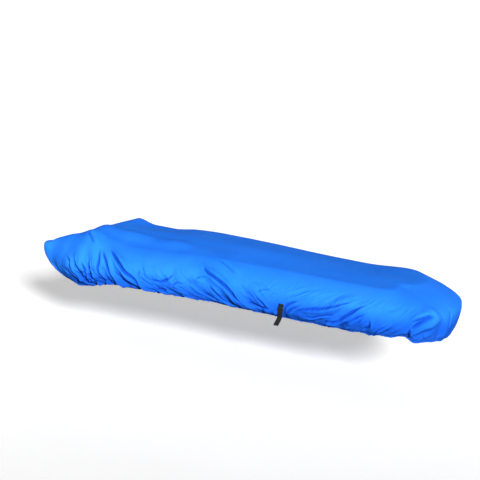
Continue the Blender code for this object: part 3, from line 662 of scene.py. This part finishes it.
def crease_height(crease, u, v):
    """Depth of one crease over the cloth."""
    line = crease_line(crease.places)
    margin = crease.width * CREASE_MARGIN
    low, high = line.min(axis=0) - margin, line.max(axis=0) + margin
    near = (u > low[0]) & (u < high[0]) & (v > low[1]) & (v < high[1])
    height = np.zeros(u.shape)
    best, across, part = follow_line(line, np.stack([u[near], v[near]], axis=-1))
    thin = CREASE_TIP + (1 - CREASE_TIP) * np.sin(math.pi * np.clip(part, 0, 1))
    t = across * math.copysign(1.0, crease.depth) / (crease.width * thin)
    shape = LIP_HEIGHT * np.exp(-((t - LIP_PLACE) ** 2) / LIP_SPREAD) - np.exp(-t * t)
    fade = smooth(part / CREASE_FADE) * smooth((1 - part) / CREASE_FADE)
    height[near] = CREASE_DEPTH * abs(crease.depth) * shape * (0.1 + 0.9 * fade) * (best < margin)
    return height


def bunch_height(bunches, seed, u, above):
    """Small gathers drawn up by the elastic."""
    chance = random.Random(seed)
    height = np.zeros(u.shape)
    for bunch in bunches:
        for _ in range(bunch.count):
            place = chance.uniform(bunch.start, bunch.end)
            reach = bunch.reach * chance.uniform(*REACH_SHARE)
            lean = bunch.lean + chance.uniform(-LEAN_SPREAD, LEAN_SPREAD)
            width = chance.uniform(*GATHER_WIDTH)
            size = bunch.height * chance.uniform(*SIZE_SHARE)
            bend = chance.uniform(-BEND_SPREAD, BEND_SPREAD)
            t = (u - place - lean * above - bend * above * above) / (width * (1 + above / reach))
            shape = 0.7 * np.exp(-((t - 1.5) ** 2) / 1.8) - np.exp(-t * t)
            height += size * shape * (1.0 - smooth(above / reach))
    taut = GATHER_AT_EDGE + (1.0 - GATHER_AT_EDGE) * smooth(above / EDGE_TAUT)
    return GATHER_DEPTH * height * taut


def grain_height(table, u, v, above):
    """Long soft creases of the slack lower half, in the way that the cloth is drawn there."""
    height = np.zeros(u.shape)
    slack = smooth((SLACK_TOP - above) / SLACK_FADE) * (0.4 + 0.6 * smooth(above / 0.05))
    for i, row in enumerate(table):
        before = table[max(i - 1, 0)].u
        after = table[min(i + 1, len(table) - 1)].u
        share = np.minimum(
            (u - before) / (row.u - before) if i else np.ones(u.shape),
            (after - u) / (after - row.u) if i + 1 < len(table) else np.ones(u.shape),
        )
        share = smooth(share) * slack
        turn = math.radians(row.angle)
        along = (u - row.u) * math.cos(turn) + v * math.sin(turn)
        across = v * math.cos(turn) - (u - row.u) * math.sin(turn)
        for where in zip(*np.nonzero(share > 0.001)):
            p, q = along[where] / GRAIN_LONG, across[where] / GRAIN_WIDE
            bend = noise.noise(Vector((p * 1.3, q * 0.35, 9.0 + row.u)))
            first = noise.noise(Vector((p, q + 1.1 * bend, row.u)))
            second = noise.noise(Vector((p * 2.1, q * 1.9 + bend, 4.0 + row.u)))
            third = noise.noise(Vector((p * 2.9, q * 3.3 + bend, 7.0 + row.u)))
            ridge, small, least = (1.0 - 3.2 * abs(part) for part in (first, second, third))
            ridge = ridge - 0.6 * small - 0.3 * least
            height[where] += GRAIN_DEPTH * share[where] * row.depth * ridge
    return height


def sag_height(grid, v):
    """Soft unevenness all over, least on the taut top."""
    size = EVEN_SAG * (0.45 + 0.55 * smooth((v + 0.05) / 0.2))
    height = np.zeros(v.shape)
    for where in np.ndindex(v.shape):
        place = Vector(grid[where])
        height[where] = noise.noise(place * 3.1) + 0.5 * noise.noise(place * 7.3)
    return height * size


def top_crease_height(grid):
    """Faint creases of the top."""
    height = np.zeros(grid.shape[:2])
    for crease in TOP_CREASES:
        part, miss = near_line(grid[..., :2], crease)
        height += crease.height * (1.0 - smooth(miss / crease.reach)) * (4 * part * (1 - part)) ** 0.5
    return height


def fine_side(side):
    """One side with every fold, crease and gather: its places, their u, height above the hem,
    painted shade and lift over the plain form. The painted shade darkens the cloth's colour in
    deep creases and on the drawn-in cloth low at the back corners.
    """
    count = NEAR_STATIONS if side < 0 else FAR_STATIONS
    grid, around = plain_side(side, count, TOP_ROWS, SHOULDER_ROWS, SKIRT_ROWS)
    down = np.linalg.norm(np.diff(grid, axis=1), axis=2)
    v = np.concatenate([np.zeros((count, 1)), np.cumsum(down, axis=1)], axis=1)
    v = v - v[:, TOP_ROWS : TOP_ROWS + 1]
    u = np.repeat(around[:, None], grid.shape[1], axis=1)
    hem_v = v[:, -1:]
    above = hem_v - v
    folds, facets, creases, bunches, grains = SIDES[side]
    plain = smooth((np.abs(u - STRAP_U) - STRAP_HALF) / STRAP_FADE) if side < 0 else np.ones(u.shape)
    deeper = 1.0 + (FOLD_DEPTH - 1.0) * plain
    facet = np.zeros(u.shape)
    for fold in facets:
        facet += deeper * fold_height(fold, u, v)
    height = gather_height(side, u, v, hem_v) + facet
    for fold in folds:
        height += deeper * fold_height(fold, u, v)
    sharp = bunch_height(bunches, GATHER_SEED - side, u, above)
    for crease in creases:
        sharp += crease_height(crease, u, v)
    sharp *= plain
    ends = smooth(u / STERN_PLAIN) * smooth((around[-1] - u) / BOW_PLAIN)
    held = smooth((v + FOLD_START) / FOLD_START) * ends * hem_hold(v, hem_v)
    grain = grain_height(grains, u, v, above) * ends * plain
    # Painted shade: deep creases, grain and facets, and the cloth low at the back corners get a darker
    # colour in place of real shade.
    depth = sharp * held + GRAIN_TONE * grain + FACET_TONE * facet
    trough = smooth(-depth / TROUGH_DEEP) ** 1.5
    painted_stern_shade = smooth((STERN_LOW - above) / STERN_LOW_FADE)
    painted_stern_shade = painted_stern_shade * smooth((u - STERN_LOW_FROM) / 0.3) * smooth((STERN_LOW_TO - u) / 0.5)
    trough = np.maximum(trough, STERN_SHADE * painted_stern_shade * (0.55 + 0.45 * smooth(0.5 - grain / 0.008)))
    height = (height + sharp) * held + grain + sag_height(grid, v) + top_crease_height(grid)
    return grid + outward(grid, side) * height[..., None], u, above, trough, height


# ---------------------------------------------------------------- node materials
class Nodes:
    """Short calls for building one material's nodes."""

    def __init__(self, name):
        self.material = bpy.data.materials.new(name)
        self.material.use_nodes = True
        self.tree = self.material.node_tree
        self.shader = self.tree.nodes["Principled BSDF"]

    def add(self, kind, settings=None, **inputs):
        """One node, its settings and its inputs by name."""
        made = self.tree.nodes.new(kind)
        for key, value in (settings or {}).items():
            setattr(made, key, value)
        for key, value in inputs.items():
            self.put(made.inputs[key.replace("_", " ")], value)
        return made

    def put(self, socket, value):
        """A link or a number on a socket."""
        if isinstance(value, bpy.types.NodeSocket):
            self.tree.links.new(value, socket)
        else:
            socket.default_value = value

    def surface(self, **inputs):
        """The material, with its shader's inputs set by name."""
        for key, value in inputs.items():
            self.put(self.shader.inputs[key.replace("_", " ")], value)
        return self.material

    def place(self):
        """Places on the object, in metres."""
        return self.add("ShaderNodeTexCoord").outputs["Object"]

    def split(self, vector):
        """The parts of a vector."""
        return self.add("ShaderNodeSeparateXYZ", None, Vector=vector).outputs

    def cloud(self, place, scale, detail, rough=0.5):
        """A noise texture's value and colour."""
        return self.add(
            "ShaderNodeTexNoise", None, Vector=place, Scale=scale, Detail=detail, Roughness=rough
        ).outputs

    def math(self, what, a, b=0.0):
        """One Math node."""
        made = self.add("ShaderNodeMath", {"operation": what})
        self.put(made.inputs[0], a)
        self.put(made.inputs[1], b)
        return made.outputs[0]

    def wave(self, value, pitch):
        """A sine that repeats after a pitch."""
        return self.math("SINE", self.math("MULTIPLY", value, 2 * math.pi / pitch))

    def span(self, value, low, high, to_low=0.0, to_high=1.0):
        """A value mapped from one range to another."""
        made = self.add("ShaderNodeMapRange", {"clamp": True, "interpolation_type": "SMOOTHSTEP"})
        for i, number in enumerate((value, low, high, to_low, to_high)):
            self.put(made.inputs[i], number)
        return made.outputs[0]

    def mix(self, share, first, second):
        """Two colours mixed."""
        made = self.add("ShaderNodeMix", {"data_type": "RGBA"})
        for socket, value in ((0, share), (6, first), (7, second)):
            self.put(made.inputs[socket], value)
        return made.outputs[2]

    def bump(self, height, strength, distance, under=None):
        """A bump on top of another."""
        made = self.add("ShaderNodeBump", None, Height=height, Strength=strength, Distance=distance)
        if under is not None:
            self.put(made.inputs["Normal"], under)
        return made.outputs["Normal"]


WEAVE_PITCH = 0.0011  # repeat of the cloth's weave
RIB_PITCH = 0.0026  # repeat of the webbing's ribs and of its weft
PICK_PITCH = 0.0018
CASING_STITCH = 0.0045  # from stitch to stitch along the casing
CASING_GAP = 0.36  # the gap's share of it
CASING_LINE = CASING - 0.003  # the stitch line's height above the hem and half its width
CASING_LINE_HALF = 0.0007
RUFFLE = 520.0  # the casing's fine ruffle, in radians a metre
LOW_SHADE_TOP = 0.29  # painted shade: the cloth's colour gets darker from here above the hem down to the next height
LOW_SHADE_FULL = 0.10


def cloth_material():
    """Blue coated polyester: fine weave, crinkles, faint fading, a stitched hem casing, and painted shade in
    creases and low near the hem.
    """
    n = Nodes("coated_cloth_blue")
    place = n.place()
    along, above = n.split(n.add("ShaderNodeUVMap", {"uv_map": "cut"}).outputs["UV"])[:2]
    wide = n.cloud(place, 2.2, 3.0)[0]
    mottle = n.cloud(place, 38.0, 4.0)[0]
    soft = n.cloud(place, 26.0, 5.0, 0.62)[0]
    warp = n.cloud(place, 9.0, 2.0)
    bend = n.add("ShaderNodeVectorMath", {"operation": "SCALE"}, Vector=warp[1], Scale=0.16)
    shift = n.add("ShaderNodeVectorMath", {"operation": "ADD"})
    n.put(shift.inputs[0], place)
    n.put(shift.inputs[1], bend.outputs[0])
    crinkle = n.add(
        "ShaderNodeTexVoronoi", {"feature": "DISTANCE_TO_EDGE"}, Vector=shift.outputs[0], Scale=17.0
    )
    lines = n.math("MULTIPLY", n.span(crinkle.outputs[0], 0.0, 0.09), n.span(above, 0.42, 0.24))

    ruffle = n.math("ADD", along, n.math("MULTIPLY", warp[0], 0.05))
    ruffle = n.math("SINE", n.math("MULTIPLY", ruffle, RUFFLE))
    ruffle = n.math("MULTIPLY", ruffle, n.span(above, 0.050, 0.010))
    casing = n.span(above, CASING + 0.0015, CASING - 0.0005)
    repeat = n.math("FRACT", n.math("MULTIPLY", along, 1 / CASING_STITCH))
    dash = n.math("GREATER_THAN", repeat, CASING_GAP)
    line = n.math("ABSOLUTE", n.math("SUBTRACT", above, CASING_LINE))
    stitch = n.math("MULTIPLY", dash, n.math("LESS_THAN", line, CASING_LINE_HALF))
    weave = n.math("MULTIPLY", n.wave(along, WEAVE_PITCH), n.wave(above, WEAVE_PITCH))

    normal = n.bump(lines, 0.30, 0.0030)
    normal = n.bump(soft, 0.24, 0.0040, normal)
    normal = n.bump(ruffle, 0.30, 0.0016, normal)
    normal = n.bump(casing, 0.60, 0.0010, normal)
    normal = n.bump(stitch, 0.60, 0.0006, normal)
    normal = n.bump(weave, 0.10, 0.00012, normal)

    base = n.mix(n.span(wide, 0.35, 0.65), (0.017, 0.196, 0.935, 1), (0.021, 0.212, 0.955, 1))
    base = n.mix(n.span(mottle, 0.40, 0.75, 0.0, 0.16), base, (0.028, 0.232, 0.955, 1))
    # Painted shade: the colour turns dark blue in deep creases and low at the back corners.
    trough = n.split(n.add("ShaderNodeUVMap", {"uv_map": "trough"}).outputs["UV"])[0]
    base = n.mix(n.math("MULTIPLY", trough, 0.80), base, (0.003, 0.046, 0.360, 1))
    # Painted shade: the colour gets darker towards the hem.
    low = n.span(above, LOW_SHADE_TOP, LOW_SHADE_FULL, 0.0, 0.66)
    base = n.mix(low, base, (0.005, 0.064, 0.500, 1))
    dust = n.math("MULTIPLY", n.span(above, 0.10, 0.0), n.span(mottle, 0.42, 0.62, 0.0, 0.10))
    base = n.mix(dust, base, (0.10, 0.17, 0.34, 1))
    base = n.mix(stitch, base, (0.020, 0.120, 0.620, 1))
    rough = n.span(mottle, 0.3, 0.7, 0.62, 0.74)
    return n.surface(Base_Color=base, Normal=normal, Roughness=rough, Specular_IOR_Level=0.005)


def webbing_material():
    """Black polyester webbing: lengthwise ribs crossed by the weft."""
    n = Nodes("webbing_black")
    place = n.place()
    across, _, down = n.split(place)
    weave = n.math("MULTIPLY", n.wave(across, RIB_PITCH), n.wave(down, PICK_PITCH))
    fuzz = n.cloud(place, 420.0, 3.0)[0]
    worn = n.cloud(place, 60.0, 3.0)[0]
    base = n.mix(n.span(weave, -1.0, 1.0), (0.004, 0.005, 0.007, 1), (0.012, 0.014, 0.018, 1))
    base = n.mix(n.span(worn, 0.50, 0.75, 0.0, 0.30), base, (0.030, 0.033, 0.040, 1))
    normal = n.bump(fuzz, 0.2, 0.0002, n.bump(weave, 0.5, 0.0004))
    rough = n.span(fuzz, 0.3, 0.7, 0.66, 0.84)
    return n.surface(Base_Color=base, Normal=normal, Roughness=rough, Specular_IOR_Level=0.18)


def plastic_material():
    """Moulded black acetal with fine texture and scuffed edges."""
    n = Nodes("plastic_black")
    place = n.place()
    grain = n.cloud(place, 900.0, 2.0)[0]
    scuff = n.cloud(place, 160.0, 4.0)[0]
    base = n.mix(n.span(scuff, 0.52, 0.70, 0.0, 0.5), (0.010, 0.011, 0.013, 1), (0.045, 0.048, 0.052, 1))
    rough = n.span(scuff, 0.35, 0.70, 0.30, 0.48)
    return n.surface(Base_Color=base, Normal=n.bump(grain, 0.25, 0.0002), Roughness=rough)


def thread_material():
    """Black bonded thread."""
    n = Nodes("thread_black")
    twist = n.cloud(n.place(), 1500.0, 1.0)[0]
    base = n.mix(twist, (0.020, 0.021, 0.024, 1), (0.075, 0.078, 0.085, 1))
    rough = n.span(twist, 0.3, 0.7, 0.45, 0.65)
    return n.surface(Base_Color=base, Normal=n.bump(twist, 0.4, 0.0002), Roughness=rough)


def floor_material():
    """Plain pale studio floor."""
    n = Nodes("floor_pale")
    base = n.mix(n.cloud(n.place(), 1.3, 2.0)[0], (0.86, 0.86, 0.86, 1), (0.89, 0.89, 0.89, 1))
    return n.surface(
        Base_Color=base,
        Roughness=0.9,
        Specular_IOR_Level=0.1,
        Emission_Color=base,
        Emission_Strength=FLOOR_GLOW,
    )


# ---------------------------------------------------------------- pieces
WEBBING_EDGE = 0.0004  # radius of the rounded edges
BUCKLE_EDGE = 0.0006
FLAT_ANGLE = math.radians(1.0)  # faces that meet flatter than this are joined
CORNER_ANGLE = math.radians(50)  # edges sharper than this are rounded
SHARP_ANGLE = math.radians(40)  # edges sharper than this aren't shaded smooth


def placed(name, data):
    """A new object in the scene."""
    made = bpy.data.objects.new(name, data)
    bpy.context.collection.objects.link(made)
    return made


def mesh_object(name, points, faces, surface):
    """One smooth mesh object."""
    mesh = bpy.data.meshes.new(name)
    mesh.from_pydata([tuple(p) for p in points], [], faces)
    mesh.polygons.foreach_set("use_smooth", [True] * len(mesh.polygons))
    mesh.materials.append(surface)
    return placed(name, mesh)


def hem_bead(ring):
    """Rows of the round bead, from the last row of the cloth on."""
    round_way = np.roll(ring[:, -1], -1, axis=0) - np.roll(ring[:, -1], 1, axis=0)
    fall = ring[:, -1] - ring[:, -2]
    normal = np.cross(round_way, fall)
    normal /= np.linalg.norm(normal, axis=-1, keepdims=True)
    fall /= np.linalg.norm(fall, axis=-1, keepdims=True)
    middle = ring[:, -1] + fall * HEM_BEAD_R
    rows = []
    for step in range(BEAD_STEPS):
        turn = math.pi * (0.25 + 1.6 * step / (BEAD_STEPS - 1)) - math.pi
        rows.append(middle + HEM_BEAD_R * (fall * math.cos(turn) - normal * math.sin(turn)))
    return rows


def place_key(place):
    """Places with the same key are one point."""
    return tuple(np.round(place, 5))


def welded(loops):
    """Points of all loops without doubles, the point of each place of a loop, and of each key."""
    points, index, seen = [], [], {}
    for loop in loops:
        row = []
        for place in loop:
            key = place_key(place)
            if key not in seen:
                seen[key] = len(points)
                points.append(tuple(place))
            row.append(seen[key])
        index.append(row)
    return points, index, seen


# Corner of a cell: its point, its place round and above the hem, and its painted shade.
Corner = namedtuple("Corner", "point cut tone")


def add_corner(corners, corner):
    """One more corner of a cell, unless its point is there already."""
    if corner.point not in [c.point for c in corners]:
        corners.append(corner)


def cell_faces(corners, lift, i, j, k):
    """The faces of one cell: a plain one is halved along its flatter diagonal."""
    if len(corners) < 3:
        return []
    if len(corners) != 4 or k + 1 >= lift.shape[1]:
        return [corners]
    falling = abs(lift[i, k] - lift[j, k + 1])
    rising = abs(lift[j, k] - lift[i, k + 1])
    a, b, c, d = corners if falling < rising else corners[1:] + corners[:1]
    return [[a, b, c], [a, c, d]]


def build_sheet(surface):
    """The whole cover as one sheet with its hem bead."""
    far, near = fine_side(1), fine_side(-1)
    near[0][::2, 0] = far[0][:, 0]
    ring, around, above, trough, lift = (np.concatenate([a, b[-2:0:-1]]) for a, b in zip(far, near))
    around = around[:, 0]
    loops = list(ring.transpose(1, 0, 2)) + hem_bead(ring)
    heights = list(above.T) + [np.full(len(ring), -0.002 * (step + 1)) for step in range(BEAD_STEPS)]
    tones = list(trough.T) + [trough[:, -1]] * BEAD_STEPS
    points, index, seen = welded(loops)
    faces, places, shades = [], [], []
    for k in range(len(loops) - 1):
        for i in range(len(ring)):
            j = (i + 1) % len(ring)
            corners = []
            for row, at in ((k, i), (k + 1, i), (k + 1, j), (k, j)):
                cut = (around[at], heights[row][at])
                add_corner(corners, Corner(index[row][at], cut, (tones[row][at], 0.0)))
            if k == 0 and i < FAR_STATIONS - 1:
                middle = seen[place_key(near[0][2 * i + 1, 0])]
                cut = ((around[i] + around[j]) / 2, (heights[0][i] + heights[0][j]) / 2)
                add_corner(corners, Corner(middle, cut, (0.0, 0.0)))
            for face in cell_faces(corners, lift, i, j, k):
                faces.append([c.point for c in face])
                places += [c.cut for c in face]
                shades += [c.tone for c in face]
    made = mesh_object("cover_sheet", points, faces, surface)
    # The places go in one UV map, the painted shade in another.
    for name, values in (("cut", places), ("trough", shades)):
        layer = made.data.uv_layers.new(name=name)
        layer.data.foreach_set("uv", np.array(values, dtype=np.float32).ravel())
    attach(made, "root")
    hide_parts("cover_cloth")
    return made


def detailed(node, name, surface, round_edge):
    """A node's own shape with rounded edges, standing for it."""
    mesh = bpy.data.objects[node].data.copy()
    mesh.name = name
    mesh.materials.clear()
    mesh.materials.append(surface)
    made = placed(name, mesh)
    shape = bmesh.new()
    shape.from_mesh(mesh)
    bmesh.ops.remove_doubles(shape, verts=shape.verts, dist=0.00001)
    bmesh.ops.dissolve_limit(shape, angle_limit=FLAT_ANGLE, verts=shape.verts, edges=shape.edges)
    sharp = [e for e in shape.edges if len(e.link_faces) == 2 and e.calc_face_angle() > CORNER_ANGLE]
    bmesh.ops.bevel(
        shape, geom=sharp, offset=round_edge, segments=2, profile=0.6, affect="EDGES", clamp_overlap=True
    )
    shape.to_mesh(mesh)
    shape.free()
    mesh.polygons.foreach_set("use_smooth", [True] * len(mesh.polygons))
    mesh.set_sharp_from_angle(angle=SHARP_ANGLE)
    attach(made, "root")
    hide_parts(node)
    return made


def build_stitches(surface):
    """Box and cross of black thread on the sewn patch, laid on its outer face."""
    mesh = bpy.data.objects["strap_patch"].data
    tree = BVHTree.FromPolygons([v.co for v in mesh.vertices], [p.vertices[:] for p in mesh.polygons])
    low, high = (Vector(corner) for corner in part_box("strap_patch"))
    left, right = low.x + STITCH_INSET, high.x - STITCH_INSET
    foot, head = low.z + STITCH_INSET, high.z - STITCH_INSET
    corners = ((left, foot), (right, foot), (right, head), (left, head))
    sides = zip(corners, corners[1:] + corners[:1])
    runs = [*sides, (corners[0], corners[2]), (corners[1], corners[3])]
    points, faces = [], []
    for start, end in runs:
        start, end = Vector(start), Vector(end)
        count = max(int((end - start).length / STITCH_PITCH), 1)
        for step in range(count):
            ends = []
            for part in (step + 0.14, step + 0.86):
                x, z = start + (end - start) * (part / count)
                hit = tree.ray_cast(Vector((x, low.y - 0.05, z)), Vector((0, 1, 0)))[0]
                if hit is not None:
                    ends.append(hit)
            if len(ends) == 2:
                add_stitch(points, faces, *ends)
    made = mesh_object("patch_stitches", points, faces, surface)
    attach(made, "root")
    return made


def add_stitch(points, faces, start, end):
    """One stitch: a short round thread that dips into the webbing at both ends."""
    way = (end - start).normalized()
    out = Vector((0, -1, 0))
    aside = way.cross(out).normalized()
    first = len(points)
    rings = ((0.0, 0.10), (0.18, 0.85), (0.5, 1.0), (0.82, 0.85), (1.0, 0.10))
    for part, size in rings:
        middle = start + (end - start) * part + out * THREAD_R * (size - 0.45)
        for turn in range(THREAD_SIDES):
            angle = 2 * math.pi * turn / THREAD_SIDES
            spoke = aside * math.cos(angle) + out * math.sin(angle)
            points.append(middle + spoke * THREAD_R * max(size, 0.3))
    for k in range(len(rings) - 1):
        low, high = first + k * THREAD_SIDES, first + (k + 1) * THREAD_SIDES
        for turn in range(THREAD_SIDES):
            after = (turn + 1) % THREAD_SIDES
            faces.append((low + turn, low + after, high + after, high + turn))
    faces.append(tuple(first + turn for turn in reversed(range(THREAD_SIDES))))
    last = first + (len(rings) - 1) * THREAD_SIDES
    faces.append(tuple(last + turn for turn in range(THREAD_SIDES)))


# ---------------------------------------------------------------- scene
def towards(turn, rise):
    """Direction out of the scene at a turn towards the bow and a rise, in degrees."""
    a, e = math.radians(turn), math.radians(rise)
    return Vector((math.sin(a) * math.cos(e), -math.cos(a) * math.cos(e), math.sin(e)))


def build_camera():
    """The photograph's view."""
    back = towards(VIEW_TURN, VIEW_RISE)
    level = (-back).cross(Vector((0, 0, 1))).normalized()
    upright = level.cross(-back)
    roll = math.radians(VIEW_ROLL)
    right = level * math.cos(roll) + upright * math.sin(roll)
    up = upright * math.cos(roll) - level * math.sin(roll)
    place = Vector(VIEW_TARGET) + back * VIEW_DISTANCE
    lens = bpy.data.cameras.new("camera")
    lens.sensor_width = SENSOR
    lens.lens = FOCAL_PIXELS / IMAGE_SIZE * SENSOR
    lens.clip_end = 100.0
    made = placed("camera", lens)
    made.matrix_world = Matrix(
        (
            (right.x, up.x, back.x, place.x),
            (right.y, up.y, back.y, place.y),
            (right.z, up.z, back.z, place.z),
            (0, 0, 0, 1),
        )
    )
    bpy.context.scene.camera = made


def add_sun(name, strength, softness, turn, rise):
    """A far light that shines in from a turn and a rise."""
    sun = bpy.data.lights.new(name, "SUN")
    sun.energy = strength
    sun.angle = math.radians(softness)
    made = placed(name, sun)
    made.rotation_euler = (-towards(turn, rise)).to_track_quat("-Z", "Y").to_euler()
    return made


def build_light():
    """One soft key from beside the camera, a weak fill from behind and an even sky."""
    add_sun("key", KEY_STRENGTH, KEY_SOFTNESS, KEY_TURN, KEY_RISE)
    fill = add_sun("fill", FILL_STRENGTH, FILL_SOFTNESS, FILL_TURN, FILL_RISE)
    fill.visible_glossy = False
    world = bpy.data.worlds.new("sky")
    world.use_nodes = True
    sky = world.node_tree.nodes["Background"]
    sky.inputs["Color"].default_value = (1.0, 1.0, 1.0, 1.0)
    sky.inputs["Strength"].default_value = SKY_STRENGTH
    bpy.context.scene.world = world


def build_floor(surface):
    """A pale floor that curves up far away on all sides."""
    outline = [(0.0, 0.0), (FLOOR_RADIUS * 0.5, 0.0)]
    for turn in range(0, 91, 6):
        angle = math.radians(turn)
        outline.append((FLOOR_RADIUS + FLOOR_CURVE * math.sin(angle), FLOOR_CURVE * (1 - math.cos(angle))))
    outline.append((FLOOR_RADIUS + FLOOR_CURVE, WALL_TOP + FLOOR_CURVE))
    points = [(0.0, 0.0, FLOOR_Z)]
    for reach, rise in outline[1:]:
        for i in range(FLOOR_SPOKES):
            angle = 2 * math.pi * i / FLOOR_SPOKES
            points.append((reach * math.cos(angle), reach * math.sin(angle), FLOOR_Z + rise))
    faces = [(0, 1 + i, 1 + (i + 1) % FLOOR_SPOKES) for i in range(FLOOR_SPOKES)]
    for k in range(len(outline) - 2):
        a, b = 1 + k * FLOOR_SPOKES, 1 + (k + 1) * FLOOR_SPOKES
        for i in range(FLOOR_SPOKES):
            j = (i + 1) % FLOOR_SPOKES
            faces.append((a + i, b + i, b + j, a + j))
    made = mesh_object("floor", points, faces, surface)
    made.visible_diffuse = False


def main():
    """Build everything."""
    bpy.context.scene.view_settings.view_transform = "Standard"
    build_camera()
    build_light()
    build_floor(floor_material())
    build_sheet(cloth_material())
    webbing = webbing_material()
    detailed("strap_patch", "sewn_patch", webbing, WEBBING_EDGE)
    build_stitches(thread_material())
    detailed("strap_webbing", "hanging_strap", webbing, WEBBING_EDGE)
    detailed("strap_buckle", "three_bar_slider", plastic_material(), BUCKLE_EDGE)


main()
